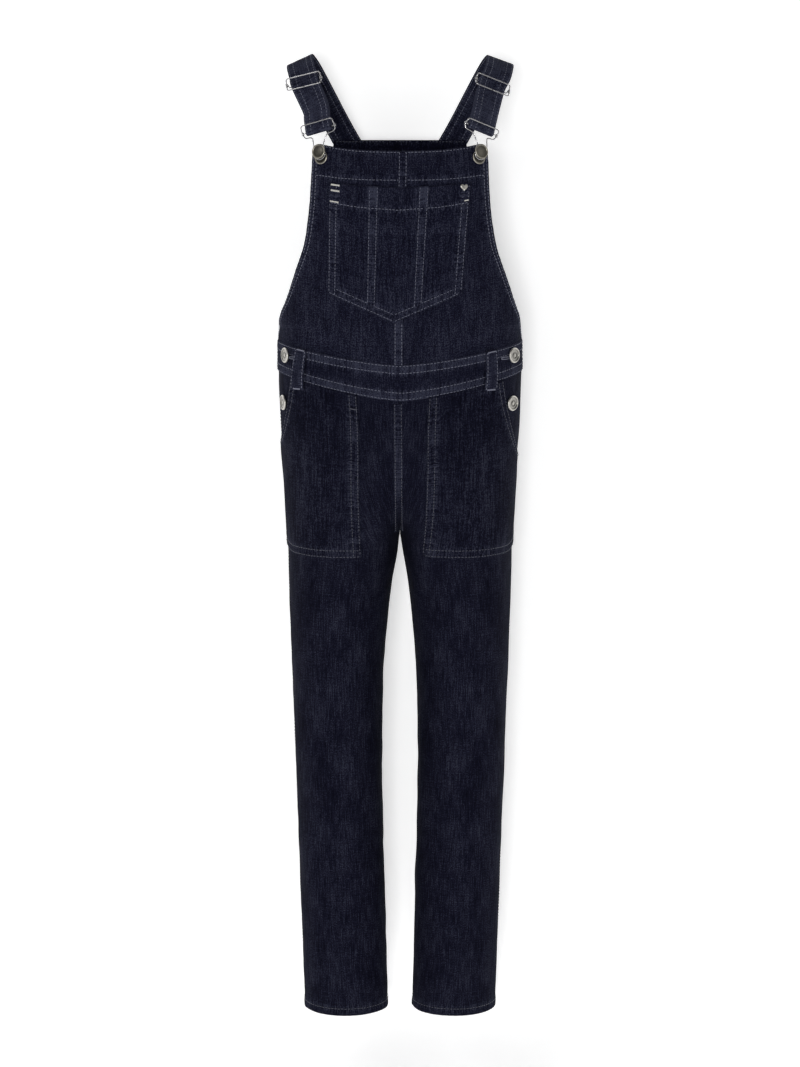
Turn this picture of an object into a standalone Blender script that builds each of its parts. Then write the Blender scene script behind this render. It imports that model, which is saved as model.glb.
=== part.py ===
"""Child's denim dungarees, filled out as if worn and held up by the shoulder straps.

Metres, +Z up. The front faces -Y. Left and right are the wearer's, so left is at +X.
The origin lies between the straps at the height of the shoulders they hang on.
Sizes below are in millimetres, and heights are negative because they lie below the shoulders.
"""
import math
from collections import namedtuple

import bmesh
import bpy
from mathutils import Matrix, Vector

MM = 0.001

# Cloth
DENIM = 1.2                  # one layer
BAND_CLOTH = 2.4             # folded waistband
STRAP_CLOTH = 2.4            # folded strap
STRAP_WIDTH = 30.0
SEAM_GAP = 0.3               # between two pieces that are sewn edge to edge
LAY_GAP = 0.4                # between a panel and what lies on it
BAND_PROUD = 0.8             # the waistband's face in front of the panels

# Heights
BIB_TOP = -92.5              # at the middle of the front
BIB_TOP_CORNER = -83.5
BACK_TOP = -84.0
BAND_TOP = -296.0            # at the side seam
BAND_BOTTOM = -329.5
CROTCH = -512.0
HIP_POCKET_FOOT = -523.5
KNEE = -770.0
HEM = -1055.0

# How far the waistband's edges hang below the side seam at the middle of the front and back
FRONT_TOP_DIP = -20.0
FRONT_BOTTOM_DIP = -25.5
BACK_TOP_DIP = 2.0
BACK_BOTTOM_DIP = -2.0
DIP_POWER = 1.35
BAND_SQUARE = 2.4            # how square the cloth is round the waistband
DIP_ENDS = -470.0            # rows of the legs below this are level

# The filled-out cloth at each height: how far it reaches outward and towards the middle on one
# side, how far its centre lies back, its depth in front and behind, and how square the ring is.
# Above the crotch the two rings are cut where they meet.
Ring = namedtuple("Ring", "height outer inner back_shift front back square")
RINGS = [
    Ring(-30, 106, -106, 2, 60, 72, 2.5),
    Ring(-60, 112, -112, 1, 70, 79, 2.5),
    Ring(-90, 117, -117, 0, 79, 83, 2.5),
    Ring(-120, 119.5, -119.5, 0, 85, 85, 2.5),
    Ring(-160, 122, -122, 0, 88, 85, 2.5),
    Ring(-220, 126, -126, 0, 88.5, 82, 2.5),
    Ring(-270, 130, -130, 0, 89, 80, 2.5),
    Ring(-296, 131.5, -131.5, 0, 90, 81, 2.45),
    Ring(-330, 132, -132, 0, 91, 86, 2.4),
    Ring(-368, 131, -130.5, 0, 91, 94, 2.35),
    Ring(-400, 129.5, -109, 0, 90, 99, 2.3),
    Ring(-430, 127.5, -70, 0, 88, 99, 2.25),
    Ring(-460, 125.5, -35, 0, 85, 95, 2.2),
    Ring(-480, 124.3, -16, 0, 82, 90, 2.15),
    Ring(-495, 123.7, -6.2, 0, 80, 86, 2.12),
    Ring(-505, 123.4, -1.9, 0, 78.5, 83, 2.1),
    Ring(-512, 123.1, 0.4, 0, 77.5, 81, 2.1),
    Ring(-529, 122.8, 2.9, 0, 75, 77, 2.1),
    Ring(-560, 122.4, 8.4, 0, 72, 73, 2.08),
    Ring(-599, 121.4, 12.9, 0, 68.5, 69, 2.06),
    Ring(-655, 119.6, 17.8, 0, 63, 64, 2.05),
    Ring(-712, 117.7, 19.6, 0, 58, 59, 2.05),
    Ring(-770, 115.9, 20.1, 1, 54, 54, 2.05),
    Ring(-856, 113.4, 18.7, 5, 49, 51, 2.05),
    Ring(-944, 111.2, 16.4, 10, 46, 48, 2.05),
    Ring(-1055, 107.8, 14.0, 15, 43.5, 44, 2.05),
]

# Soft folds: a line in the front view, outward from the middle, and how wide and proud it is
Fold = namedtuple("Fold", "side face x1 z1 x2 z2 width rise")
FRONT, BACK = -1, 1
FOLD_START = 24.0            # folds fade out within this distance of the middle
FOLDS = [
    Fold(+1, FRONT, 14, -500, 66, -560, 13, 1.8),
    Fold(-1, FRONT, 16, -496, 60, -548, 12, 1.6),
    Fold(+1, FRONT, 22, -535, 70, -610, 14, 1.5),
    Fold(-1, FRONT, 24, -540, 64, -600, 13, 1.3),
    Fold(+1, FRONT, 42, -712, 88, -752, 15, -2.2),
    Fold(+1, FRONT, 48, -800, 96, -772, 14, 1.8),
    Fold(-1, FRONT, 36, -750, 92, -778, 16, 1.8),
    Fold(-1, FRONT, 98, -850, 92, -960, 11, 2.0),
    Fold(-1, FRONT, 46, -880, 60, -985, 14, 1.4),
    Fold(+1, FRONT, 50, -890, 44, -1000, 14, 1.5),
    Fold(+1, BACK, 18, -505, 84, -548, 14, 2.6),
    Fold(-1, BACK, 20, -502, 80, -552, 14, 2.4),
    Fold(+1, BACK, 26, -540, 92, -590, 15, 2.0),
    Fold(-1, BACK, 24, -546, 86, -604, 15, 2.2),
    Fold(+1, BACK, 36, -742, 96, -762, 13, 2.2),
    Fold(-1, BACK, 34, -752, 98, -738, 13, 2.4),
    Fold(+1, BACK, 44, -792, 100, -778, 14, 2.0),
    Fold(-1, BACK, 40, -790, 96, -806, 14, 1.8),
    Fold(+1, BACK, 30, -905, 90, -925, 16, 1.8),
    Fold(-1, BACK, 34, -930, 94, -908, 16, 1.8),
    Fold(+1, FRONT, 118, -272, 70, -290, 14, 2.2),
    Fold(-1, FRONT, 120, -270, 74, -286, 15, 2.8),
]

# Half the bib's width in the front view at each height
Edge = namedtuple("Edge", "height reach")
BIB_EDGE = [
    Edge(-88, 91.0),
    Edge(-103, 92.8),
    Edge(-145, 95.2),
    Edge(-170, 98.0),
    Edge(-196, 102.8),
    Edge(-222, 111.8),
    Edge(-248, 120.5),
    Edge(-275, 128.3),
    Edge(-289, 130.8),
]
BACK_EDGE = [
    Edge(-84, 72.5),
    Edge(-115, 79.0),
    Edge(-150, 87.0),
    Edge(-200, 100.0),
    Edge(-245, 116.0),
    Edge(-275, 127.0),
    Edge(-289, 130.6),
]
BIB_CORNER_ROUND = 9.0       # how far the bib's rounded top corner comes down
BIB_CORNER_START = 0.86      # where that round begins, as a share of the half width

# The bib pocket: three panels under a shallow curved mouth, over a pointed foot
BIB_POCKET_TOP = -125.5
BIB_POCKET_TOP_DIP = -5.0
BIB_POCKET_CORNER = -241.5
BIB_POCKET_TIP = -271.0
BIB_POCKET_HALF_TOP = 74.0
BIB_POCKET_HALF_FOOT = 70.5
BIB_POCKET_LEAN = -5.5       # how far its foot lies to the wearer's right
BIB_POCKET_SEAM_TOP = (-27.5, 25.0)
BIB_POCKET_SEAM_FOOT = (-30.5, 18.5)

# The front leg panels' columns, and the one that the hip pocket's inner edge lies on
POCKET_SHARE = 0.6
LEG_COLUMNS = [0, 0.04, 0.09, 0.155, 0.23, 0.31, 0.4, 0.5, POCKET_SHARE, 0.7, 0.8, 0.88, 0.95, 1]
POCKET_FADE = 180.0          # below the pocket the columns spread evenly again over this length
MOUTH_CURVE = 1.6            # how late the pocket's mouth turns in to the side seam
MOUTH_CUTTER_TURN = 0.12     # how far round behind the side seam the cut begins, in radians

# What differs between the wearer's left and right
Side = namedtuple("Side", "name sign pocket_top_x pocket_foot_x mouth_x mouth_foot loop_x loop_lean "
                          "band_button_x leg_button_x shoulder_drop slider_x slider_z slider_twist "
                          "strap_tilt neck_skew")
SIDES = [
    Side("left", 1, 30.5, 26.0, 107.0, -424, 95.5, 0.0, 118.5, 118.0, -3.0, 97.0, -25.5, 9.0, 20.0, 6.0),
    Side("right", -1, 45.5, 42.0, 114.0, -410, 103.8, 5.0, 118.8, 122.0, 2.0, 100.8, -22.0, 16.0, 14.0,
         3.0),
]

# Belt loops and the under-lap that the side buttons are sewn to
LOOP_WIDTH = 10.0
LOOP_FOOT = -345.5
LOOP_CLOTH = 1.8
LOOP_BOW = 2.2               # how far the loop stands off the waistband
STAND_FOOT = -440.0
STAND_ANGLES = (-8.0, 30.0)  # degrees round from the side seam, forward is positive

# Side buttons
BUTTON_RADIUS = 8.5
BAND_BUTTON_HEIGHT = -309.5
LEG_BUTTON_HEIGHT = -362.5
BUTTON_TURN = 12.0           # degrees that a side button is drawn round to the front
SHANK_RADIUS = 2.2
SHANK_LENGTH = 2.8

# Bib buttons: a flange on the bib, a leaning neck and a cap
BIB_BUTTON_X = 82.8
BIB_BUTTON_HEIGHT = -99.5
BIB_BUTTON_LEAN = 5.0        # how far the cap lies above the flange
NECK_MIDDLE = 3.4            # height of the wire eye over the bib

# Wire of the sliders and clips
WIRE = 0.9                   # radius
WIRE_GAP = 0.3
BAR_DROP = STRAP_CLOTH / 2 + WIRE_GAP + WIRE   # from a strap's middle to a wire's middle
CLIP_LENGTH = 26.0           # from the bar that carries the strap to the button's neck
CLIP_LEAN = 0.8              # how many degrees more than the strap the clip tilts
CLIP_EYE = 5.2               # radius of the eye round the neck, to the middle of the wire
EYE_SHIFT = 0.9              # the neck bears on the lower side of the eye
NECK_START = 4.0             # the wire's neck is drawn outward between these, below the bar
NECK_END = 18.0
FOLDED_GAP = 0.8             # between the strap and its turned-up end
SLIDER_HALF_WIDTH = 18.8
SLIDER_HALF_HEIGHT = 6.6

# The strap's middle line from the back bib over the shoulder to the slider, with how far its
# outer edge drops and lies back, in degrees
Route = namedtuple("Route", "x y z drop turn")
STRAP_ROUTE = [
    Route(39.0, 84.9, -120, 27, -9),
    Route(48.5, 82.6, -103, 28, -12),
    Route(58.5, 79.4, -86, 29, -16),
    Route(69.5, 73.5, -66, 29, -17),
    Route(81.0, 63.0, -44, 28, -15),
    Route(92.0, 47.0, -23, 26, -9),
    Route(100.5, 27.0, -7, 24, -3),
    Route(105.5, 8.0, 0.6, 23, 0),
    Route(107.0, -6.0, 1.0, 22, 2),
    Route(106.0, -21.0, -4.0, 21, 4),
    Route(103.0, -34.5, -13.5, 20, 7),
]
SLIDER_Y = -43.5             # the strap's middle line under the slider
SLIDER_TURN = 13
SLIDER_KNOT = len(STRAP_ROUTE)
CURVE_STEPS = 3              # points of the strap from one knot to the next
CLIP_RUN = (24.0, 12.0, 0.0)  # knots at these distances above the clip's bar

DENIM_BLUE = (0.012, 0.016, 0.034)
STRAP_BLUE = (0.014, 0.019, 0.038)
NICKEL = (0.52, 0.51, 0.48)
GUNMETAL = (0.20, 0.20, 0.18)
SILVER = (0.72, 0.71, 0.69)


def clear_scene():
    for thing in list(bpy.data.objects):
        bpy.data.objects.remove(thing, do_unlink=True)


def make_material(name, colour, roughness, metallic):
    material = bpy.data.materials.new(name)
    material.use_nodes = True
    shader = material.node_tree.nodes["Principled BSDF"]
    shader.inputs["Base Color"].default_value = (*colour, 1)
    shader.inputs["Roughness"].default_value = roughness
    shader.inputs["Metallic"].default_value = metallic
    return material


def add_object(name, data, material):
    """Puts a mesh or a curve in the scene under its piece's name."""
    thing = bpy.data.objects.new(name, data)
    data.materials.append(material)
    bpy.context.scene.collection.objects.link(thing)
    return thing


def mesh_object(name, points, faces, material):
    """A closed mesh from points in millimetres, with its faces turned outward."""
    shape = bmesh.new()
    corners = [shape.verts.new(point * MM) for point in points]
    for face in faces:
        shape.faces.new([corners[index] for index in face])
    bmesh.ops.recalc_face_normals(shape, faces=shape.faces)
    if shape.calc_volume(signed=True) < 0:
        bmesh.ops.reverse_faces(shape, faces=shape.faces)
    mesh = bpy.data.meshes.new(name)
    shape.to_mesh(mesh)
    shape.free()
    mesh.shade_smooth()
    mesh.set_sharp_from_angle(angle=math.radians(40))
    return add_object(name, mesh, material)


def smooth_value(rows, column, height):
    """A column of a table at any height, on a smooth curve through its rows."""
    heights = [row.height for row in rows]
    values = [getattr(row, column) for row in rows]
    if height >= heights[0]:
        return values[0]
    if height <= heights[-1]:
        return values[-1]
    index = next(i for i in range(len(rows) - 1) if height >= heights[i + 1])

    def slope(i):
        before, after = max(i - 1, 0), min(i + 1, len(rows) - 1)
        return (values[after] - values[before]) / (heights[after] - heights[before])

    span = heights[index + 1] - heights[index]
    t = (height - heights[index]) / span
    start, end = values[index], values[index + 1]
    rise = end - start
    a = slope(index) * span - rise
    b = rise - slope(index + 1) * span
    return start + t * rise + t * (1 - t) * (a * (1 - t) + b * t)


def signed_power(value, power):
    return math.copysign(abs(value) ** power, value)


def blend(start, end, share):
    return start + (end - start) * share


def ease(share):
    share = min(max(share, 0.0), 1.0)
    return share * share * (3 - 2 * share)


def fold_rise(side, face, reach, height):
    """How far the soft folds lift the cloth at a place in the front view."""
    total = 0.0
    for fold in FOLDS:
        if fold.side != side or fold.face != face:
            continue
        along = Vector((fold.x2 - fold.x1, fold.z2 - fold.z1))
        away = Vector((reach - fold.x1, height - fold.z1))
        share = away.dot(along) / along.length_squared
        nearest = along * min(max(share, 0.0), 1.0)
        distance = (away - nearest).length
        total += fold.rise * math.exp(-((distance / fold.width) ** 2))
    return total * ease(reach / FOLD_START)


def ring_point(side, face, angle, height):
    """A point of the cloth's outer surface, from the side seam, 0, round to the inner leg, pi."""
    outer = smooth_value(RINGS, "outer", height)
    inner = smooth_value(RINGS, "inner", height)
    depth = smooth_value(RINGS, "front" if face == FRONT else "back", height)
    power = 2 / smooth_value(RINGS, "square", height)
    reach = (outer + inner) / 2 + (outer - inner) / 2 * signed_power(math.cos(angle), power)
    away = depth * signed_power(math.sin(angle), power)
    lift = fold_rise(side, face, reach, height)
    reach += lift * math.cos(angle)
    away += lift * math.sin(angle)
    return Vector((side * reach, smooth_value(RINGS, "back_shift", height) + face * away, height))


def skin_frame(side, face, angle, height):
    """A point of the surface and its outward direction."""
    turn, rise = 0.01, 1.0
    across = ring_point(side, face, angle + turn, height) - ring_point(side, face, angle - turn, height)
    up = ring_point(side, face, angle, height + rise) - ring_point(side, face, angle, height - rise)
    outward = across.cross(up) * side * face
    return ring_point(side, face, angle, height), outward.normalized()


def skin(side, face, angle, height, lift):
    point, outward = skin_frame(side, face, angle, height)
    return point + outward * lift


def angle_at(reach, height):
    """The ring's angle where the cloth lies a given distance from the middle."""
    outer = smooth_value(RINGS, "outer", height)
    inner = smooth_value(RINGS, "inner", height)
    square = smooth_value(RINGS, "square", height)
    share = (reach - (outer + inner) / 2) / ((outer - inner) / 2)
    share = min(max(share, -1.0), 1.0)
    return math.acos(signed_power(share, square / 2))


def gap_angle(face, height):
    """The angle that leaves half a seam's gap beside the side seam or the inner leg seam."""
    depth = smooth_value(RINGS, "front" if face == FRONT else "back", height)
    square = smooth_value(RINGS, "square", height)
    return math.asin((SEAM_GAP / 2 / depth) ** (square / 2))


def end_angle(face, height):
    """Where a leg panel ends: at the middle above the crotch, at the inner leg seam below it."""
    if smooth_value(RINGS, "inner", height) < SEAM_GAP / 2:
        return angle_at(SEAM_GAP / 2, height)
    return math.pi - gap_angle(face, height)


def dip(middle_dip, angle):
    """How far an edge of the waistband lies below its height at the side seam."""
    share = max(math.cos(angle), 0.0) ** (2 / BAND_SQUARE)
    return middle_dip * (1 - share ** DIP_POWER)


def spread(start, end, count):
    return [blend(start, end, index / count) for index in range(count + 1)]


def cloth(name, columns, rows, place, inner, outer, material):
    """A closed wall of cloth over a grid, between two distances from the surface."""
    points, faces = [], []
    across, down = len(columns), len(rows)
    for lift in (outer, inner):
        for v in rows:
            for u in columns:
                points.append(place(u, v, lift))
    layer = across * down
    for j in range(down - 1):
        for i in range(across - 1):
            corner = j * across + i
            quad = [corner, corner + 1, corner + across + 1, corner + across]
            faces.append(quad)
            faces.append([layer + index for index in reversed(quad)])
    top = list(range(across))
    right = [j * across + across - 1 for j in range(1, down)]
    bottom = [(down - 1) * across + i for i in range(across - 2, -1, -1)]
    left = [j * across for j in range(down - 2, 0, -1)]
    rim = top + right + bottom + left
    for index, start in enumerate(rim):
        end = rim[(index + 1) % len(rim)]
        faces.append([end, start, layer + start, layer + end])
    return mesh_object(name, points, faces, material)


def cut_away(target, cutter):
    """Takes the cutter's space out of a piece and leaves the cutter as a guide."""
    cutter.hide_render = True
    cutter.display_type = "WIRE"
    modifier = target.modifiers.new("cut", "BOOLEAN")
    modifier.operation = "DIFFERENCE"
    modifier.solver = "EXACT"
    modifier.object = cutter


def sweep(name, stations, half_width, half_depth, material):
    """A flat strip along stations of a point, its direction across and its outward direction."""
    points, faces = [], []
    for point, across, outward in stations:
        for width, depth in ((-1, -1), (1, -1), (1, 1), (-1, 1)):
            points.append(point + across * half_width * width + outward * half_depth * depth)
    last = len(stations) - 1
    for index in range(last):
        start = index * 4
        for k in range(4):
            m = (k + 1) % 4
            faces.append([start + k, start + m, start + 4 + m, start + 4 + k])
    faces.append([3, 2, 1, 0])
    faces.append([last * 4 + k for k in range(4)])
    return mesh_object(name, points, faces, material)


def turned(name, profile, sides, centre, axis, material, lean=None):
    """A round piece from a profile of radii and heights. Its upper part may lean aside."""
    outward = axis.normalized()
    across = outward.cross(Vector((0, 0, 1))).normalized()
    up = across.cross(outward)
    points, faces = [], []
    for radius, height, shift in profile:
        middle = centre + outward * height + (lean or Vector()) * shift
        for index in range(sides):
            turn = 2 * math.pi * index / sides
            points.append(middle + (across * math.cos(turn) + up * math.sin(turn)) * radius)
    for level in range(len(profile) - 1):
        for index in range(sides):
            after = (index + 1) % sides
            low, high = level * sides, (level + 1) * sides
            faces.append([low + index, low + after, high + after, high + index])
    faces.append(list(reversed(range(sides))))
    faces.append([(len(profile) - 1) * sides + index for index in range(sides)])
    return mesh_object(name, points, faces, material)


def wire(name, points, material, closed=False):
    """A round wire through points in millimetres."""
    curve = bpy.data.curves.new(name, "CURVE")
    curve.dimensions = "3D"
    curve.bevel_depth = WIRE * MM
    curve.bevel_resolution = 1
    curve.use_fill_caps = True
    spline = curve.splines.new("POLY")
    spline.points.add(len(points) - 1)
    for knot, point in zip(spline.points, points):
        knot.co = (*(point * MM), 1)
    spline.use_cyclic_u = closed
    return add_object(name, curve, material)


def rounded(knots, count):
    """Points on a smooth open curve through a few knots."""
    result = []
    for index in range(len(knots) - 1):
        before = knots[max(index - 1, 0)]
        start, end = knots[index], knots[index + 1]
        after = knots[min(index + 2, len(knots) - 1)]
        for step in range(count):
            t = step / count
            result.append(0.5 * (2 * start + (end - before) * t
                                 + (2 * before - 5 * start + 4 * end - after) * t ** 2
                                 + (3 * start - before - 3 * end + after) * t ** 3))
    result.append(knots[-1])
    return result


def leg_rows():
    """Heights of a leg panel's rows at the side seam, close together round the crotch."""
    rows = spread(BAND_BOTTOM - SEAM_GAP, -470, 7)
    rows += [-486, -497, -505, -509.5, CROTCH, HIP_POCKET_FOOT]
    rows += spread(HIP_POCKET_FOOT, KNEE, 6)[1:]
    rows += spread(KNEE, HEM, 6)[1:]
    return rows


def row_dip(middle_dip, height, angle):
    """A leg panel's rows follow the waistband at its top and are level lower down."""
    share = (height - DIP_ENDS) / (BAND_BOTTOM - DIP_ENDS)
    return dip(middle_dip, angle) * min(max(share, 0.0), 1.0)


def leg_angle(side, face, height, u):
    """The angle of a leg panel's column. On the front, column POCKET_SHARE follows the pocket."""
    start, end = gap_angle(face, height), end_angle(face, height)
    if face == BACK:
        return blend(start, end, u)
    down = (height - BAND_BOTTOM) / (HIP_POCKET_FOOT - BAND_BOTTOM)
    level = max(height, HIP_POCKET_FOOT)
    pocket = angle_at(blend(side.pocket_top_x, side.pocket_foot_x, min(max(down, 0.0), 1.0)), level)
    below = ease((HIP_POCKET_FOOT - height) / POCKET_FADE)
    pocket = blend(pocket, blend(start, end, POCKET_SHARE), below)
    if u <= POCKET_SHARE:
        return blend(start, pocket, u / POCKET_SHARE)
    return blend(pocket, end, (u - POCKET_SHARE) / (1 - POCKET_SHARE))


def leg_place(side, face, middle_dip):
    """Gives the points of a leg panel, and of what lies on it, by column and row."""
    def place(u, height, lift):
        middle = height + row_dip(middle_dip, height, math.pi / 2)
        angle = leg_angle(side, face, middle, u)
        return skin(side.sign, face, angle, height + row_dip(middle_dip, height, angle), lift)

    return place


def build_legs(denim):
    for face, middle_dip, word in ((FRONT, FRONT_BOTTOM_DIP, "front"), (BACK, BACK_BOTTOM_DIP, "back")):
        for side in SIDES:
            cloth(f"{word}_leg_{side.name}", LEG_COLUMNS, leg_rows(),
                  leg_place(side, face, middle_dip), -DENIM, 0, denim)


def build_bib(denim):
    """The front bib, in two halves that meet at its middle seam."""
    rows = spread(0, 1, 11)
    columns = [0, 0.18, 0.36, 0.54, 0.7, 0.84, 0.93, 1]
    for side in SIDES:
        def place(u, v, lift):
            round_share = max(u - BIB_CORNER_START, 0) / (1 - BIB_CORNER_START)
            top = blend(BIB_TOP, BIB_TOP_CORNER, u * u) - BIB_CORNER_ROUND * round_share ** 2
            guess = blend(math.pi / 2, 0, u)
            bottom = BAND_TOP + SEAM_GAP + dip(FRONT_TOP_DIP, guess)
            height = blend(top, bottom, v)
            edge = angle_at(smooth_value(BIB_EDGE, "reach", height), height)
            if height < BIB_EDGE[-1].height:
                share = (height - BIB_EDGE[-1].height) / (BAND_TOP - BIB_EDGE[-1].height)
                edge = blend(edge, 0, min(share, 1.0))
            edge = max(edge, gap_angle(FRONT, height))
            return skin(side.sign, FRONT, blend(angle_at(SEAM_GAP / 2, height), edge, u), height, lift)

        cloth(f"bib_{side.name}", columns, rows, place, -DENIM, 0, denim)


def build_back_bib(denim):
    rows = spread(0, 1, 10)
    half = [0, 0.2, 0.4, 0.6, 0.78, 0.9, 1]
    columns = [-u for u in reversed(half[1:])] + half

    def place(u, v, lift):
        side = 1 if u >= 0 else -1
        share = abs(u)
        bottom = BAND_TOP + SEAM_GAP + dip(BACK_TOP_DIP, blend(math.pi / 2, 0, share))
        height = blend(BACK_TOP, bottom, v)
        edge = angle_at(smooth_value(BACK_EDGE, "reach", height), height)
        if height < BACK_EDGE[-1].height:
            low = (height - BACK_EDGE[-1].height) / (BAND_TOP - BACK_EDGE[-1].height)
            edge = blend(edge, 0, min(low, 1.0))
        edge = max(edge, gap_angle(BACK, height))
        return skin(side, BACK, blend(math.pi / 2, edge, share), height, lift)

    cloth("back_bib", columns, rows, place, -DENIM, 0, denim)


def build_waistbands(denim):
    half = [0, 0.1, 0.2, 0.3, 0.4, 0.5, 0.6, 0.7, 0.79, 0.87, 0.94, 1]
    columns = [-u for u in reversed(half[1:])] + half
    kinds = (("waistband_front", FRONT, FRONT_TOP_DIP, FRONT_BOTTOM_DIP),
             ("waistband_back", BACK, BACK_TOP_DIP, BACK_BOTTOM_DIP))
    for name, face, top_dip, bottom_dip in kinds:
        def place(u, v, lift):
            side = 1 if u >= 0 else -1
            angle = blend(math.pi / 2, gap_angle(face, BAND_TOP), abs(u))
            top = BAND_TOP + dip(top_dip, angle)
            bottom = BAND_BOTTOM + dip(bottom_dip, angle)
            return skin(side, face, angle, blend(top, bottom, v), lift)

        cloth(name, columns, [0, 0.5, 1], place, BAND_PROUD - BAND_CLOTH, BAND_PROUD, denim)


def build_bib_pocket(denim):
    """Three panels side by side, from the wearer's right to the left."""
    tops = (-BIB_POCKET_HALF_TOP, *BIB_POCKET_SEAM_TOP, BIB_POCKET_HALF_TOP)
    feet = (-BIB_POCKET_HALF_FOOT + BIB_POCKET_LEAN, *BIB_POCKET_SEAM_FOOT,
            BIB_POCKET_HALF_FOOT + BIB_POCKET_LEAN)
    tip_x = BIB_POCKET_LEAN - 1.0

    def foot_height(x):
        """The foot's edge runs straight from the tip to each corner."""
        corner = feet[0] if x < tip_x else feet[3]
        return blend(BIB_POCKET_TIP, BIB_POCKET_CORNER, (x - tip_x) / (corner - tip_x))

    for index, word in enumerate(("right", "middle", "left")):
        start_gap = SEAM_GAP / 2 if index > 0 else 0
        end_gap = SEAM_GAP / 2 if index < 2 else 0
        columns = spread(0, 1, 4)
        if word == "middle":
            low, high = feet[1], feet[2]
            columns = sorted([0, 0.25, (tip_x - low) / (high - low), 0.75, 1])

        def place(u, v, lift):
            top_x = blend(tops[index] + start_gap, tops[index + 1] - end_gap, u)
            foot_x = blend(feet[index] + start_gap, feet[index + 1] - end_gap, u)
            bow = 1 - (top_x / BIB_POCKET_HALF_TOP) ** 2
            top = BIB_POCKET_TOP + BIB_POCKET_TOP_DIP * bow
            height = blend(top, foot_height(foot_x), v)
            x = blend(top_x, foot_x, v)
            side = 1 if x >= 0 else -1
            return skin(side, FRONT, angle_at(abs(x), height), height, lift)

        cloth(f"bib_pocket_{word}", columns, spread(0, 1, 8), place, LAY_GAP, LAY_GAP + DENIM, denim)


def build_hip_pockets(denim):
    """Patch pockets on the front leg panels' own columns and rows, cut away at a slanted mouth."""
    columns = [u for u in LEG_COLUMNS if u <= POCKET_SHARE]
    rows = [height for height in leg_rows() if height >= HIP_POCKET_FOOT]
    for side in SIDES:
        pocket = cloth(f"hip_pocket_{side.name}", columns, rows,
                       leg_place(side, FRONT, FRONT_BOTTOM_DIP), SEAM_GAP, SEAM_GAP + DENIM, denim)

        def place(u, v, lift):
            height = blend(BAND_TOP, side.mouth_foot, v)
            mouth = angle_at(side.mouth_x, BAND_BOTTOM) * math.sqrt(max(1 - v ** MOUTH_CURVE, 0))
            angle = blend(-MOUTH_CUTTER_TURN, mouth, u)
            if angle < 0:
                return skin(side.sign, BACK, -angle, height, lift)
            return skin(side.sign, FRONT, angle, height, lift)

        cutter = cloth(f"mouth_cutter_{side.name}", spread(0, 1, 6), spread(0, 1, 8), place, -2, 5, denim)
        cut_away(pocket, cutter)


def build_belt_loops(denim):
    for side in SIDES:
        def place(u, v, lift):
            angle = angle_at(side.loop_x + side.loop_lean * v + LOOP_WIDTH * (u - 0.5), BAND_TOP)
            height = blend(BAND_TOP + dip(FRONT_TOP_DIP, angle) + 0.6, LOOP_FOOT, v)
            rest = blend(BAND_PROUD, LAY_GAP + DENIM, ease(v)) + LAY_GAP
            bow = LOOP_BOW * math.sin(math.pi * v) ** 0.7
            return skin(side.sign, FRONT, angle, height, rest + bow + lift)

        cloth(f"belt_loop_{side.name}", [0, 0.5, 1], spread(0, 1, 8), place, 0, LOOP_CLOTH, denim)


def build_button_stands(denim):
    """The strip under each side opening, which the side buttons are sewn to."""
    rows = spread(BAND_TOP - 2, STAND_FOOT, 7)
    under = BAND_PROUD - BAND_CLOTH - 2 * LAY_GAP
    for side in SIDES:
        def place(u, height, lift):
            angle = math.radians(blend(*STAND_ANGLES, u))
            if angle < 0:
                return skin(side.sign, BACK, -angle, height, lift)
            return skin(side.sign, FRONT, angle, height, lift)

        columns = [0, 0.21, 0.26, 0.34, 0.45, 0.6, 0.8, 1]
        cloth(f"button_stand_{side.name}", columns, rows, place, under - DENIM, under, denim)


def clip_frame(side):
    """The clip's bar, its direction across, down to the button and outward, and the button's seat."""
    angle = angle_at(BIB_BUTTON_X, BIB_BUTTON_HEIGHT)
    seat, outward = skin_frame(side.sign, FRONT, angle, BIB_BUTTON_HEIGHT)
    up = (Vector((0, 0, 1)) - outward * outward.z).normalized()
    neck = seat + outward * NECK_MIDDLE + up * BIB_BUTTON_LEAN * 0.5
    sideways = up.cross(outward) * side.sign
    tilt = math.radians(side.strap_tilt + CLIP_LEAN)
    down = -(up * math.cos(tilt) + sideways * math.sin(tilt))
    across = sideways * math.cos(tilt) - up * math.sin(tilt)
    bar = neck - down * CLIP_LENGTH - across * side.neck_skew
    return bar, across, down, seat, outward, up


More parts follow.
